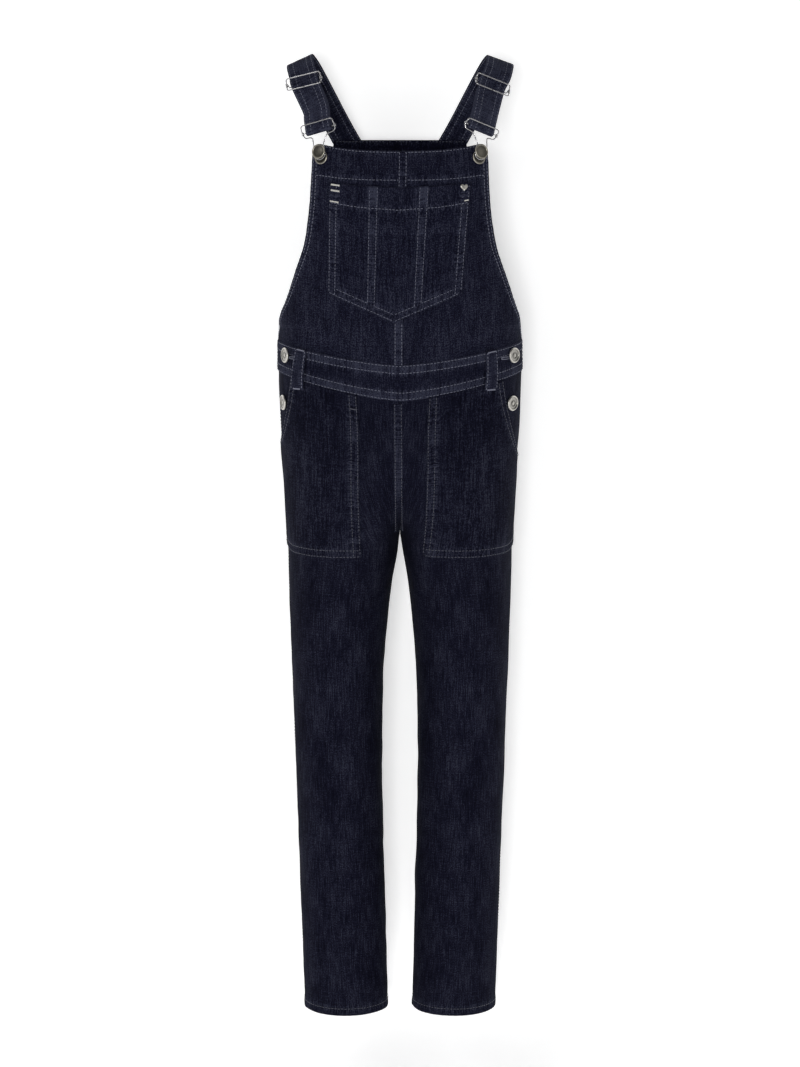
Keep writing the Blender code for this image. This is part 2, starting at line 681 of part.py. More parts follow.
def strap_stations(side):
    """The strap from its seat on the back, over the shoulder, round the clip's bar and back up."""
    bar, across, down, _, face, _ = clip_frame(side)
    at_slider = Route(side.slider_x, SLIDER_Y, side.slider_z, side.strap_tilt - side.shoulder_drop,
                      SLIDER_TURN)
    knots, turns = [], []
    for row in STRAP_ROUTE + [at_slider]:
        knots.append(Vector((side.sign * row.x, row.y, row.z)))
        drop = math.radians(row.drop + side.shoulder_drop)
        turn = math.radians(row.turn)
        turns.append(Vector((side.sign * math.cos(drop) * math.cos(turn), math.sin(turn),
                             -math.sin(drop) * math.cos(turn))))
    for step in CLIP_RUN:
        knots.append(bar + face * BAR_DROP - down * step)
        turns.append(across)
    middles = rounded(knots, CURVE_STEPS)
    widths = rounded(turns, CURVE_STEPS)
    front = []
    for index, point in enumerate(middles):
        ahead = middles[min(index + 1, len(middles) - 1)] - middles[max(index - 1, 0)]
        ahead.normalize()
        width = (widths[index] - ahead * widths[index].dot(ahead)).normalized()
        outward = ahead.cross(width) * side.sign
        front.append((point, width, outward))
    fold = []
    for step in range(1, 7):
        turn = math.pi * step / 7
        outward = face * math.cos(turn) + down * math.sin(turn)
        fold.append((bar + outward * BAR_DROP, across, outward))
    slider = SLIDER_KNOT * CURVE_STEPS
    behind = []
    for index in range(len(front) - 1, slider, -1):
        point, width, outward = front[index]
        share = (len(front) - 1 - index) / (len(front) - 1 - slider)
        apart = blend(2 * BAR_DROP, STRAP_CLOTH + FOLDED_GAP, ease(share * 2.5))
        behind.append((point - outward * apart, width, -outward))
    return front, fold, behind


def build_straps(denim, metal):
    for side in SIDES:
        front, fold, behind = strap_stations(side)
        sweep(f"strap_{side.name}", front + fold + behind, STRAP_WIDTH / 2, STRAP_CLOTH / 2, denim)
        slider = SLIDER_KNOT * CURVE_STEPS
        build_slider(side, front[slider], front[slider + 2], metal)


def build_slider(side, station, below, metal):
    """A wire frame over the strap, and a bar under it whose ends turn up to the frame."""
    middle, width, outward = station
    twist = Matrix.Rotation(math.radians(side.slider_twist * side.sign), 3, outward)
    across = twist @ width
    down = twist @ (below[0] - middle).normalized()
    a, b = SLIDER_HALF_WIDTH, SLIDER_HALF_HEIGHT

    def at(x, y, z):
        return middle + across * x + down * y + outward * z

    front, corner = BAR_DROP + 3 * LAY_GAP, 2.6
    quarter = [at(0.5, b, front), at(a - corner, b, front), at(a - 0.6, b - 1.0, front),
               at(a, b - corner, front * 0.6), at(a + 0.4, 0, -0.4), at(a, corner - b, front * 0.6),
               at(a - 0.6, 1.0 - b, front), at(a - corner, -b, front)]
    other = [at(corner - a, -b, front), at(0.6 - a, 1.0 - b, front), at(-a, corner - b, front * 0.6),
             at(-a - 0.4, 0, -0.4), at(-a, b - corner, front * 0.6), at(0.6 - a, b - 1.0, front),
             at(corner - a, b, front), at(-0.5, b, front)]
    wire(f"slider_frame_{side.name}", quarter + other, metal)
    reach = a + 0.4 - 2 * WIRE - WIRE_GAP
    half = [(reach, -0.4), (reach, -front * 0.6), (reach - 1.6, -front)]
    bar = [at(-x, 0, z) for x, z in half] + [at(x, 0, z) for x, z in reversed(half)]
    wire(f"slider_bar_{side.name}", bar, metal)


def build_clips(metal, cap_metal):
    """The wire clip, the bar that its strap folds round, and the bib button in its eye."""
    for side in SIDES:
        bar, across, down, seat, outward, up = clip_frame(side)

        def at(x, y, z):
            skew = side.neck_skew * ease((y - NECK_START) / (NECK_END - NECK_START))
            return bar + across * (x + skew) + down * y + outward * z

        top = 2 * BAR_DROP
        eye_middle = CLIP_LENGTH - EYE_SHIFT
        half = [(0, -9.0, top), (14.5, -9.0, top), (17.6, -8.0, top - 0.8), (19.2, -5.0, 3.2),
                (19.6, -1.0, 1.0), (18.8, 3.0, 0), (16.5, 5.4, 0), (11.5, 6.0, 0), (8.8, 7.4, 0),
                (7.7, 10.0, 0), (6.6, 13.5, 0), (5.0, 16.4, 0), (5.2, 18.6, 0)]
        for step in range(2, 7):
            turn = math.radians(30 * step)
            half.append((CLIP_EYE * math.sin(turn), eye_middle - CLIP_EYE * math.cos(turn), 0))
        loop = [at(*knot) for knot in half] + [at(-x, y, z) for x, y, z in reversed(half[1:-1])]
        wire(f"clip_frame_{side.name}", loop, metal, closed=True)
        reach = 19.2 - 2 * WIRE - WIRE_GAP
        wire(f"clip_bar_{side.name}", [at(-reach, 0, 0), at(reach, 0, 0)], metal)

        profile = [(7.2, 0.3, 0), (7.2, 1.0, 0), (6.3, 1.4, 0), (3.2, 1.5, 0.2), (2.6, 2.2, 0.45),
                   (2.6, 4.4, 0.52), (2.9, 5.2, 0.8), (6.9, 5.3, 1), (7.7, 5.9, 1), (7.7, 6.8, 1),
                   (6.8, 7.6, 1), (3.5, 8.1, 1)]
        turned(f"bib_button_{side.name}", profile, 20, seat, outward, cap_metal, up * BIB_BUTTON_LEAN)


def build_side_buttons(metal):
    """Two jeans buttons down each side, drawn round to the front by their holes."""
    places = (("band", "band_button_x", BAND_BUTTON_HEIGHT, BAND_PROUD),
              ("leg", "leg_button_x", LEG_BUTTON_HEIGHT, 0.0))
    for side in SIDES:
        for word, column, height, face_lift in places:
            angle = angle_at(getattr(side, column), height)
            seat, outward = skin_frame(side.sign, FRONT, angle, height)
            seat += outward * (face_lift + SEAM_GAP)
            turn = Matrix.Rotation(math.radians(-BUTTON_TURN * side.sign), 3, "Z")
            rim = SHANK_LENGTH
            profile = [(SHANK_RADIUS, 0, 0), (SHANK_RADIUS, rim, 0), (7.6, rim, 0),
                       (BUTTON_RADIUS, rim + 0.7, 0), (BUTTON_RADIUS, rim + 1.5, 0),
                       (7.5, rim + 2.3, 0), (6.4, rim + 2.3, 0), (5.8, rim + 1.8, 0),
                       (2.0, rim + 1.8, 0)]
            turned(f"side_button_{word}_{side.name}", profile, 20, seat, turn @ outward, metal)


def build_heart_stud(metal):
    """A small heart-shaped stud on the corner of the bib pocket."""
    x, height, size, depth = 66.5, -130.5, 4.1, 1.2
    seat, outward = skin_frame(1, FRONT, angle_at(x, height), height)
    seat += outward * (LAY_GAP + DENIM + SEAM_GAP)
    across = Vector((0, 0, 1)).cross(outward).normalized()
    up = outward.cross(across)
    outline = []
    for index in range(20):
        turn = 2 * math.pi * index / 20
        wide = math.sin(turn) ** 3
        tall = (13 * math.cos(turn) - 5 * math.cos(2 * turn) - 2 * math.cos(3 * turn)
                - math.cos(4 * turn)) / 16
        outline.append(across * wide * size + up * tall * size)
    points = [seat + point for point in outline]
    points += [seat + point + outward * depth * 0.6 for point in outline]
    points += [seat + point * 0.8 + outward * depth for point in outline]
    count = len(outline)
    faces = [list(reversed(range(count))), [2 * count + index for index in range(count)]]
    for level in range(2):
        for index in range(count):
            after = (index + 1) % count
            low, high = level * count, (level + 1) * count
            faces.append([low + index, low + after, high + after, high + index])
    mesh_object("heart_stud", points, faces, metal)


def main():
    clear_scene()
    denim = make_material("raw_indigo_denim", DENIM_BLUE, 0.85, 0.0)
    strap_denim = make_material("strap_denim", STRAP_BLUE, 0.85, 0.0)
    nickel = make_material("nickel_wire", NICKEL, 0.3, 1.0)
    gunmetal = make_material("antique_nickel", GUNMETAL, 0.35, 1.0)
    silver = make_material("silver_plate", SILVER, 0.3, 1.0)
    build_legs(denim)
    build_bib(denim)
    build_back_bib(denim)
    build_waistbands(denim)
    build_bib_pocket(denim)
    build_hip_pockets(denim)
    build_belt_loops(denim)
    build_button_stands(denim)
    build_straps(strap_denim, nickel)
    build_clips(nickel, gunmetal)
    build_side_buttons(silver)
    build_heart_stud(silver)


main()
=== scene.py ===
"""The looks of a child's denim bib overalls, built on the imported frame.

Sizes are in millimetres and turn to metres where a mesh or curve is made. The front faces -Y, and
left and right are the wearer's, so left is at +X.
"""
import math
from collections import namedtuple

import bpy
import numpy as np
from bpy.props import FloatProperty, FloatVectorProperty, PointerProperty
from mathutils import Matrix, Vector
from mathutils.kdtree import KDTree


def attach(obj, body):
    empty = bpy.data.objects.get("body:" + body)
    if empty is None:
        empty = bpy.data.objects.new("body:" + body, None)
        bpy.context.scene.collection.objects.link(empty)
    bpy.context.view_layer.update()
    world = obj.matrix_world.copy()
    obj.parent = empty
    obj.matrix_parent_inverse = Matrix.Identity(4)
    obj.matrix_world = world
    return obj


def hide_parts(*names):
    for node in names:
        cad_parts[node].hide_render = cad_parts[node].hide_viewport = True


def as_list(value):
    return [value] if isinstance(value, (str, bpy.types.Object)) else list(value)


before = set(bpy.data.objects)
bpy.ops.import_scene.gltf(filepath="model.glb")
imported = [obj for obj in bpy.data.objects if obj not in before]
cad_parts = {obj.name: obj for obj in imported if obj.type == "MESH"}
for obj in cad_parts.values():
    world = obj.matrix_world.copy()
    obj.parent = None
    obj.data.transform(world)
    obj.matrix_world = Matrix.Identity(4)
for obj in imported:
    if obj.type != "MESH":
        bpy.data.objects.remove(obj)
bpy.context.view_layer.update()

bl_info = {
    "name": "Denim bib overalls",
    "version": (1, 0, 0),
    "blender": (4, 5, 0),
    "location": "3D View > Sidebar > Overalls",
    "description": "Builds the cloth, stitching and metal parts of a child's bib overalls",
    "category": "Add Mesh",
}

MM = 0.001
BODY = "root"
FRONT, BACK = -1, 1

# Cloth, as in the part's source
DENIM = 1.2
BAND_CLOTH = 2.4
STRAP_CLOTH = 2.4
STRAP_WIDTH = 30.0
SEAM_GAP = 0.3
LAY_GAP = 0.4
BAND_PROUD = 0.8
BAND_DEPTH = 35.0
TUCK = 1.0                   # the bib and the legs reach this far under the waistband's edges

BIB_TOP = -92.5
BIB_TOP_CORNER = -83.5
BACK_TOP = -84.0
BAND_TOP = -296.0
BAND_BOTTOM = -329.5
HIP_POCKET_FOOT = -523.5
HEM = -1055.0
FRONT_TOP_DIP = -20.0
FRONT_BOTTOM_DIP = -25.5
BACK_TOP_DIP = 2.0
BACK_BOTTOM_DIP = -2.0
DIP_POWER = 1.35
BAND_SQUARE = 2.4
DIP_ENDS = -470.0

Ring = namedtuple("Ring", "height outer inner back_shift front back square")
RINGS = [
    Ring(-30, 106, -106, 2, 60, 72, 2.5),
    Ring(-60, 112, -112, 1, 70, 79, 2.5),
    Ring(-90, 117, -117, 0, 79, 83, 2.5),
    Ring(-120, 119.5, -119.5, 0, 85, 85, 2.5),
    Ring(-160, 122, -122, 0, 88, 85, 2.5),
    Ring(-220, 126, -126, 0, 88.5, 82, 2.5),
    Ring(-270, 130, -130, 0, 89, 80, 2.5),
    Ring(-296, 131.5, -131.5, 0, 90, 81, 2.45),
    Ring(-330, 132, -132, 0, 91, 86, 2.4),
    Ring(-368, 131, -130.5, 0, 91, 94, 2.35),
    Ring(-400, 129.5, -109, 0, 90, 99, 2.3),
    Ring(-430, 127.5, -70, 0, 88, 99, 2.25),
    Ring(-460, 125.5, -35, 0, 85, 95, 2.2),
    Ring(-480, 124.3, -16, 0, 82, 90, 2.15),
    Ring(-495, 123.7, -6.2, 0, 80, 86, 2.12),
    Ring(-505, 123.4, -1.9, 0, 78.5, 83, 2.1),
    Ring(-512, 123.1, 0.4, 0, 77.5, 81, 2.1),
    Ring(-529, 122.8, 2.9, 0, 75, 77, 2.1),
    Ring(-560, 122.4, 8.4, 0, 72, 73, 2.08),
    Ring(-599, 121.4, 12.9, 0, 68.5, 69, 2.06),
    Ring(-655, 119.6, 17.8, 0, 63, 64, 2.05),
    Ring(-712, 117.7, 19.6, 0, 58, 59, 2.05),
    Ring(-770, 115.9, 20.1, 1, 54, 54, 2.05),
    Ring(-856, 113.4, 18.7, 5, 49, 51, 2.05),
    Ring(-944, 111.2, 16.4, 10, 46, 48, 2.05),
    Ring(-1055, 107.8, 14.0, 15, 43.5, 44, 2.05),
]

# Folds: a line in the front view, outward from the middle, how wide and proud it is. The first
# rows are the ones that the solids have too, the rest are the shallow creases between them.
Fold = namedtuple("Fold", "side face x1 z1 x2 z2 width rise")
FOLD_START = 24.0
FOLDS = [
    Fold(+1, FRONT, 14, -500, 66, -560, 13, 1.8),
    Fold(-1, FRONT, 16, -496, 60, -548, 12, 1.6),
    Fold(+1, FRONT, 22, -535, 70, -610, 14, 1.5),
    Fold(-1, FRONT, 24, -540, 64, -600, 13, 1.3),
    Fold(+1, FRONT, 42, -712, 88, -752, 15, -2.2),
    Fold(+1, FRONT, 48, -800, 96, -772, 14, 1.8),
    Fold(-1, FRONT, 36, -750, 92, -778, 16, 1.8),
    Fold(-1, FRONT, 98, -850, 92, -960, 11, 2.0),
    Fold(-1, FRONT, 46, -880, 60, -985, 14, 1.4),
    Fold(+1, FRONT, 50, -890, 44, -1000, 14, 1.5),
    Fold(+1, BACK, 18, -505, 84, -548, 14, 2.6),
    Fold(-1, BACK, 20, -502, 80, -552, 14, 2.4),
    Fold(+1, BACK, 26, -540, 92, -590, 15, 2.0),
    Fold(-1, BACK, 24, -546, 86, -604, 15, 2.2),
    Fold(+1, BACK, 36, -742, 96, -762, 13, 2.2),
    Fold(-1, BACK, 34, -752, 98, -738, 13, 2.4),
    Fold(+1, BACK, 44, -792, 100, -778, 14, 2.0),
    Fold(-1, BACK, 40, -790, 96, -806, 14, 1.8),
    Fold(+1, BACK, 30, -905, 90, -925, 16, 1.8),
    Fold(-1, BACK, 34, -930, 94, -908, 16, 1.8),
    Fold(+1, FRONT, 118, -272, 70, -290, 14, 2.2),
    Fold(-1, FRONT, 120, -270, 74, -286, 15, 2.8),
]
CREASES = [
    Fold(-1, FRONT, 128, -283, 96, -281, 5, -1.6),
    Fold(-1, FRONT, 96, -281, 70, -296, 5, -1.0),
    Fold(+1, FRONT, 124, -284, 84, -297, 6, -1.2),
    Fold(+1, FRONT, 52, -738, 96, -700, 8, -0.9),
    Fold(+1, FRONT, 30, -655, 84, -690, 11, 0.8),
    Fold(-1, FRONT, 30, -640, 82, -668, 12, 0.7),
    Fold(-1, FRONT, 40, -812, 90, -826, 10, 0.7),
    Fold(+1, FRONT, 30, -850, 80, -862, 10, -0.6),
    Fold(+1, FRONT, 86, -1010, 40, -1030, 9, 0.7),
    Fold(-1, FRONT, 84, -1000, 36, -1024, 9, 0.7),
    Fold(+1, BACK, 30, -620, 90, -650, 12, 1.0),
    Fold(-1, BACK, 30, -640, 90, -626, 12, 1.0),
    Fold(+1, BACK, 40, -830, 96, -846, 10, 0.9),
    Fold(-1, BACK, 40, -856, 92, -838, 10, 0.9),
    Fold(+1, BACK, 30, -990, 80, -1006, 10, 0.8),
    Fold(-1, BACK, 30, -1002, 84, -990, 10, 0.8),
    Fold(+1, BACK, 30, -300, 100, -286, 12, 0.8),
    Fold(-1, BACK, 30, -298, 100, -284, 12, 0.8),
]

Edge = namedtuple("Edge", "height reach")
BIB_EDGE = [
    Edge(-88, 91.0),
    Edge(-103, 92.8),
    Edge(-145, 95.2),
    Edge(-170, 98.0),
    Edge(-196, 102.8),
    Edge(-222, 111.8),
    Edge(-248, 120.5),
    Edge(-275, 128.3),
    Edge(-289, 130.8),
]
BACK_EDGE = [
    Edge(-84, 72.5),
    Edge(-115, 79.0),
    Edge(-150, 87.0),
    Edge(-200, 100.0),
    Edge(-245, 116.0),
    Edge(-275, 127.0),
    Edge(-289, 130.6),
]
BIB_CORNER_ROUND = 9.0
BIB_CORNER_START = 0.86

BIB_POCKET_TOP = -125.5
BIB_POCKET_TOP_DIP = -5.0
BIB_POCKET_CORNER = -241.5
BIB_POCKET_TIP = -272.0
BIB_POCKET_HALF_TOP = 74.0
BIB_POCKET_HALF_FOOT = 70.5
BIB_POCKET_LEAN = -5.5
BIB_POCKET_SEAM_TOP = (-27.5, 25.0)
BIB_POCKET_SEAM_FOOT = (-30.5, 18.5)
BIB_POCKET_HEM = 20.5
MOUTH_CURVE = 1.6

Side = namedtuple("Side", "name sign pocket_top_x pocket_foot_x mouth_x mouth_foot loop_x loop_lean "
                          "band_button_x leg_button_x shoulder_drop slider_x slider_z slider_twist "
                          "strap_tilt neck_skew button_turn clip_crown")
SIDES = [
    Side("left", 1, 30.5, 26.0, 107.0, -424, 95.5, 0.0, 118.5, 118.0, -3.0, 97.0, -25.5, 4.0, 20.0, 6.0,
         7.0, 4.8),
    Side("right", -1, 45.5, 42.0, 114.0, -410, 103.0, 5.0, 118.8, 122.0, 2.0, 100.8, -22.0, 14.0, 14.0,
         3.0, -8.0, 7.4),
]

# The hip pocket's foot hangs this low, and turns up by this much at the side seam, over this angle
POCKET_SAG = 2.0
POCKET_CORNER_RISE = 9.5
POCKET_CORNER_TURN = 0.55
SEAM_WIDTH = 9.6
FOLDED_WIDTH = 0.02          # metres of cloth across a felled seam's strip or a belt loop
LOOP_WIDTH = 11.3
LOOP_FOOT = -345.5
LOOP_CLOTH = 1.8
LOOP_BOW = 2.2
STAND_FOOT = -440.0
STAND_ANGLES = (-8.0, 30.0)

BUTTON_RADIUS = 8.2
BAND_BUTTON_HEIGHT = -309.5
LEG_BUTTON_HEIGHT = -362.5
HOLE_SHIFT = 6.0             # the buttonholes' middles from the buttons', towards the front's middle
HOLE_DROP = 2.5
HOLE_LENGTH = 15.0
SHANK_RADIUS = 2.2
SHANK_LENGTH = 2.8

BIB_BUTTON_X = 82.8
BIB_BUTTON_HEIGHT = -99.5
BIB_BUTTON_LEAN = 5.0
NECK_MIDDLE = 3.4

WIRE = 0.9
WIRE_SHOWN = 0.62            # the drawn wire's radius, without the solids' margin
CURL, CURL_WIRE = 1.15, 0.45  # a bar's end curled round the frame: the curl's and its wire's radius
CURL_STEPS = 7               # points of one turn of it, and it goes round twice
WIRE_GAP = 0.3
BAR_DROP = STRAP_CLOTH / 2 + WIRE_GAP + WIRE
CLIP_LENGTH = 26.0
CLIP_LEAN = 0.8
CLIP_EYE = 6.4
EYE_SHIFT = 0.9
NECK_START = 4.0
NECK_END = 18.0
FOLDED_GAP = 0.8
SLIDER_HALF_WIDTH = 18.8
SLIDER_HALF_HEIGHT = 6.6

Route = namedtuple("Route", "x y z drop turn")
STRAP_ROUTE = [
    Route(39.0, 84.9, -120, 27, -9),
    Route(48.5, 82.6, -103, 28, -12),
    Route(58.5, 79.4, -86, 29, -16),
    Route(69.5, 73.5, -66, 29, -17),
    Route(81.0, 63.0, -44, 28, -15),
    Route(92.0, 47.0, -23, 26, -9),
    Route(100.5, 27.0, -7, 24, -3),
    Route(105.5, 8.0, 0.6, 23, 0),
    Route(107.0, -6.0, 1.0, 22, 2),
    Route(106.0, -21.0, -4.0, 21, 4),
    Route(103.0, -34.5, -13.5, 20, 7),
]
SLIDER_Y = -43.5
SLIDER_TURN = 13
SLIDER_KNOT = len(STRAP_ROUTE)
CURVE_STEPS = 9
FOLD_STEPS = 12              # of the half turn round the clip's bar
CLIP_RUN = (24.0, 12.0, 0.0)

# Rows of stitches: a seam's edge row and its second row lie this far in from the edge
EDGE_ROW = 1.8
SECOND_ROW = 8.6
STRAP_ROW = 7.4
ARMHOLE_ROWS = (3.8, 8.6)
BIB_FACING = 0.135           # the facing's foot, as a share of the bib's height
HEM_ROW = 8.5
HEM_RISE = 0.75
LINE_STEP = 1.2              # between points of a stitched line
THICK_ROW = 0.38             # how high a row lies on a folded edge
PULL_REACH = 14.0            # a stitched line draws on the cloth within this distance
NEVER = 2.0                  # the facing of a piece whose inside shows no reverse

# Camera of the photograph: where it stands, what it looks at, and its focal length in pixels
PHOTO_SIZE = (800, 1067)
CAMERA_PLACE = (0.0, -2.9, -0.036)
CAMERA_TARGET = (0.0, 0.0, -0.511)
FOCAL_PIXELS = 2671.5
SENSOR = 24.0
FLOOR_HEIGHT = -1.17
WALL_PLACE = 0.15
SWEEP_RADIUS = 0.09
SWEEP_STEPS = 12


def linear(code):
    """An sRGB hex colour as linear red, green and blue."""
    values = [int(code[index:index + 2], 16) / 255 for index in (0, 2, 4)]
    return tuple(v / 12.92 if v <= 0.04045 else ((v + 0.055) / 1.055) ** 2.4 for v in values)


def add_node(tree, kind, settings=None, links=None):
    """Adds a shader node, sets its inputs or properties, and links its inputs."""
    node = tree.nodes.new(kind)
    for key, value in (settings or {}).items():
        if isinstance(key, int) or key in node.inputs:
            node.inputs[key].default_value = value
        else:
            setattr(node, key, value)
    for key, source in (links or {}).items():
        tree.links.new(source, node.inputs[key])
    return node


def new_material(name):
    """An empty node material with its output, and the shader that feeds it."""
    material = bpy.data.materials.new(name)
    material.use_nodes = True
    tree = material.node_tree
    tree.nodes.clear()
    output = add_node(tree, "ShaderNodeOutputMaterial")
    shader = add_node(tree, "ShaderNodeBsdfPrincipled")
    tree.links.new(shader.outputs["BSDF"], output.inputs["Surface"])
    return material, tree, shader


def set_shader(tree, shader, settings, links=None):
    for key, value in settings.items():
        shader.inputs[key].default_value = value
    for key, source in (links or {}).items():
        tree.links.new(source, shader.inputs[key])


def denim_material(name, dark, light, reverse, fleck_share):
    """Raw denim: a 3 by 1 twill of indigo warp over undyed weft, woven slubby and never washed.

    The eye gets a near-black blue with fine grey flecks where the weft shows, long faint streaks
    along the warp, and a soft pale bloom where it turns away.
    """
    material, tree, shader = new_material(name)
    cloth, inside, wear, seam = (add_node(tree, "ShaderNodeAttribute", {"attribute_name": label})
                                 for label in ("cloth", "reverse", "wear", "seam"))

    def noise(across, down, detail, source=cloth, deep=1.0):
        """Noise whose grain is the given number of metres across and down the cloth."""
        stretch = add_node(tree, "ShaderNodeVectorMath",
                           {"operation": "MULTIPLY", 1: (1 / across, 1 / down, deep)},
                           {0: source.outputs["Vector"]})
        return add_node(tree, "ShaderNodeTexNoise", {"Scale": 1.0, "Detail": detail, "Roughness": 0.6},
                        {"Vector": stretch.outputs["Vector"]}).outputs["Fac"]

    # Warp threads lie 0.4 mm apart and show as streaks of one to three threads
    warp = noise(0.0010, 0.020, 2.0)
    weft = noise(0.012, 0.0011, 1.0)
    fleck = noise(0.0009, 0.0013, 2.0)
    cloud = noise(0.030, 0.055, 2.0)
    # The twill's diagonal ribs lie 0.7 mm apart, drawn 1.1 mm apart so that a close view shows them
    turn = add_node(tree, "ShaderNodeVectorRotate", {"rotation_type": "Z_AXIS", "Angle": math.radians(63)},
                    {"Vector": cloth.outputs["Vector"]})
    twill = add_node(tree, "ShaderNodeTexWave",
                     {"wave_type": "BANDS", "bands_direction": "X", "Scale": 2 * math.pi / 20 / 0.0011,
                      "Distortion": 1.5, "Detail": 2.0, "Detail Scale": 1.4},
                     {"Vector": turn.outputs["Vector"]}).outputs["Fac"]

    def weigh(value, centre, gain, total=None):
        """Adds a share of a value round its centre to a running total."""
        start = 0.5 if total is None else 0.0
        part = add_node(tree, "ShaderNodeMath",
                        {"operation": "MULTIPLY_ADD", 1: gain, 2: start - centre * gain},
                        {0: value}).outputs[0]
        if total is None:
            return part
        return add_node(tree, "ShaderNodeMath", {"operation": "ADD"}, {0: total, 1: part}).outputs[0]

    total = None
    for value, gain in ((warp, 1.1), (weft, 0.35), (fleck, fleck_share), (cloud, 0.6), (twill, 0.08)):
        total = weigh(value, 0.5, gain, total)
    # Along a stitched line the cloth ropes: short ridges across the line, their lit tops and shadowed dips
    # painted into the colour as light and dark bars
    rope = noise(0.0013, 0.008, 2.0, seam, 0.0)
    rope = add_node(tree, "ShaderNodeMapRange", {1: 0.38, 2: 0.62, 3: -0.4, 4: 1.0}, {0: rope}).outputs[0]
    strength = add_node(tree, "ShaderNodeSeparateXYZ", {}, {"Vector": seam.outputs["Vector"]}).outputs["Z"]
    rope = add_node(tree, "ShaderNodeMath", {"operation": "MULTIPLY"}, {0: rope, 1: strength}).outputs[0]
    # The attribute read here is painted light: seam strips, cut edges and the straps' front runs lighter as
    # painted highlight, insides and the straps' back runs darker as painted shadow
    total = weigh(wear.outputs["Fac"], 0.0, 0.5, total)
    total = weigh(rope, 0.0, 0.55, total)
    ramp = add_node(tree, "ShaderNodeValToRGB", {}, {"Fac": total})
    ramp.color_ramp.elements[0].position = 0.15
    ramp.color_ramp.elements[0].color = (*[c * 0.4 for c in dark], 1)
    ramp.color_ramp.elements[1].position = 0.95
    ramp.color_ramp.elements[1].color = (*light, 1)
    middle = ramp.color_ramp.elements.new(0.5)
    middle.color = (*dark, 1)
    back = add_node(tree, "ShaderNodeMix",
                    {"data_type": "RGBA", 6: (*[c * 0.45 for c in reverse], 1), 7: (*reverse, 1)}, {0: total})
    colour = add_node(tree, "ShaderNodeMix", {"data_type": "RGBA"},
                      {0: inside.outputs["Fac"], 6: ramp.outputs["Color"], 7: back.outputs[2]})
    height = None
    for value, centre, gain in ((twill, 0.5, 0.5), (fleck, 0.5, 1.0), (warp, 0.5, 0.6), (rope, 0.0, 1.6)):
        height = weigh(value, centre, gain, height)
    bump = add_node(tree, "ShaderNodeBump", {"Strength": 0.55, "Distance": 0.00022}, {"Height": height})
    set_shader(tree, shader,
               {"Roughness": 0.9, "Metallic": 0.0, "IOR": 1.5, "Specular IOR Level": 0.035,
                "Sheen Weight": 0.012, "Sheen Roughness": 0.4, "Sheen Tint": (0.62, 0.66, 0.82, 1)},
               {"Base Color": colour.outputs[2], "Normal": bump.outputs["Normal"]})
    return material


def thread_material(name, colour, roughness=0.6):
    """Polyester-cotton sewing thread, twisted: a soft gloss with light and dark plies."""
    material, tree, shader = new_material(name)
    place = add_node(tree, "ShaderNodeTexCoord")
    noise = add_node(tree, "ShaderNodeTexNoise", {"Scale": 900.0, "Detail": 1.0},
                     {"Vector": place.outputs["Object"]})
    mix = add_node(tree, "ShaderNodeMix",
                   {"data_type": "RGBA", 6: (*[c * 0.62 for c in colour], 1), 7: (*colour, 1)},
                   {0: noise.outputs["Fac"]})
    set_shader(tree, shader, {"Roughness": roughness, "IOR": 1.53, "Sheen Weight": 0.15},
               {"Base Color": mix.outputs[2]})
    return material


def metal_material(name, colour, roughness, wear, scale):
    """Plated steel or zinc, barrelled: bright with fine scuffs and a slightly uneven sheen."""
    material, tree, shader = new_material(name)
    place = add_node(tree, "ShaderNodeTexCoord")
    scuff = add_node(tree, "ShaderNodeTexNoise", {"Scale": scale, "Detail": 4.0, "Roughness": 0.7},
                     {"Vector": place.outputs["Object"]})
    cloud = add_node(tree, "ShaderNodeTexNoise", {"Scale": 260.0, "Detail": 2.0},
                     {"Vector": place.outputs["Object"]})
    plated = add_node(tree, "ShaderNodeMix",
                      {"data_type": "RGBA", 6: (*[c * (1 - wear) for c in colour], 1), 7: (*colour, 1)},
                      {0: cloud.outputs["Fac"]})
    # The wash that darkens the recesses of a pressed face, and painted shadow on the neck under a button's
    # face
    patina = add_node(tree, "ShaderNodeAttribute", {"attribute_name": "patina"})
    mix = add_node(tree, "ShaderNodeMix", {"data_type": "RGBA", 7: (*[c * 0.16 for c in colour], 1)},
                   {0: patina.outputs["Fac"], 6: plated.outputs[2]})
    rough = add_node(tree, "ShaderNodeMapRange", {1: 0.3, 2: 0.7, 3: roughness * 0.75, 4: roughness * 1.35},
                     {0: scuff.outputs["Fac"]})
    bump = add_node(tree, "ShaderNodeBump", {"Strength": 0.25, "Distance": 0.00004},
                    {"Height": scuff.outputs["Fac"]})
    set_shader(tree, shader, {"Metallic": 1.0},
               {"Base Color": mix.outputs[2], "Roughness": rough.outputs[0],
                "Normal": bump.outputs["Normal"]})
    return material


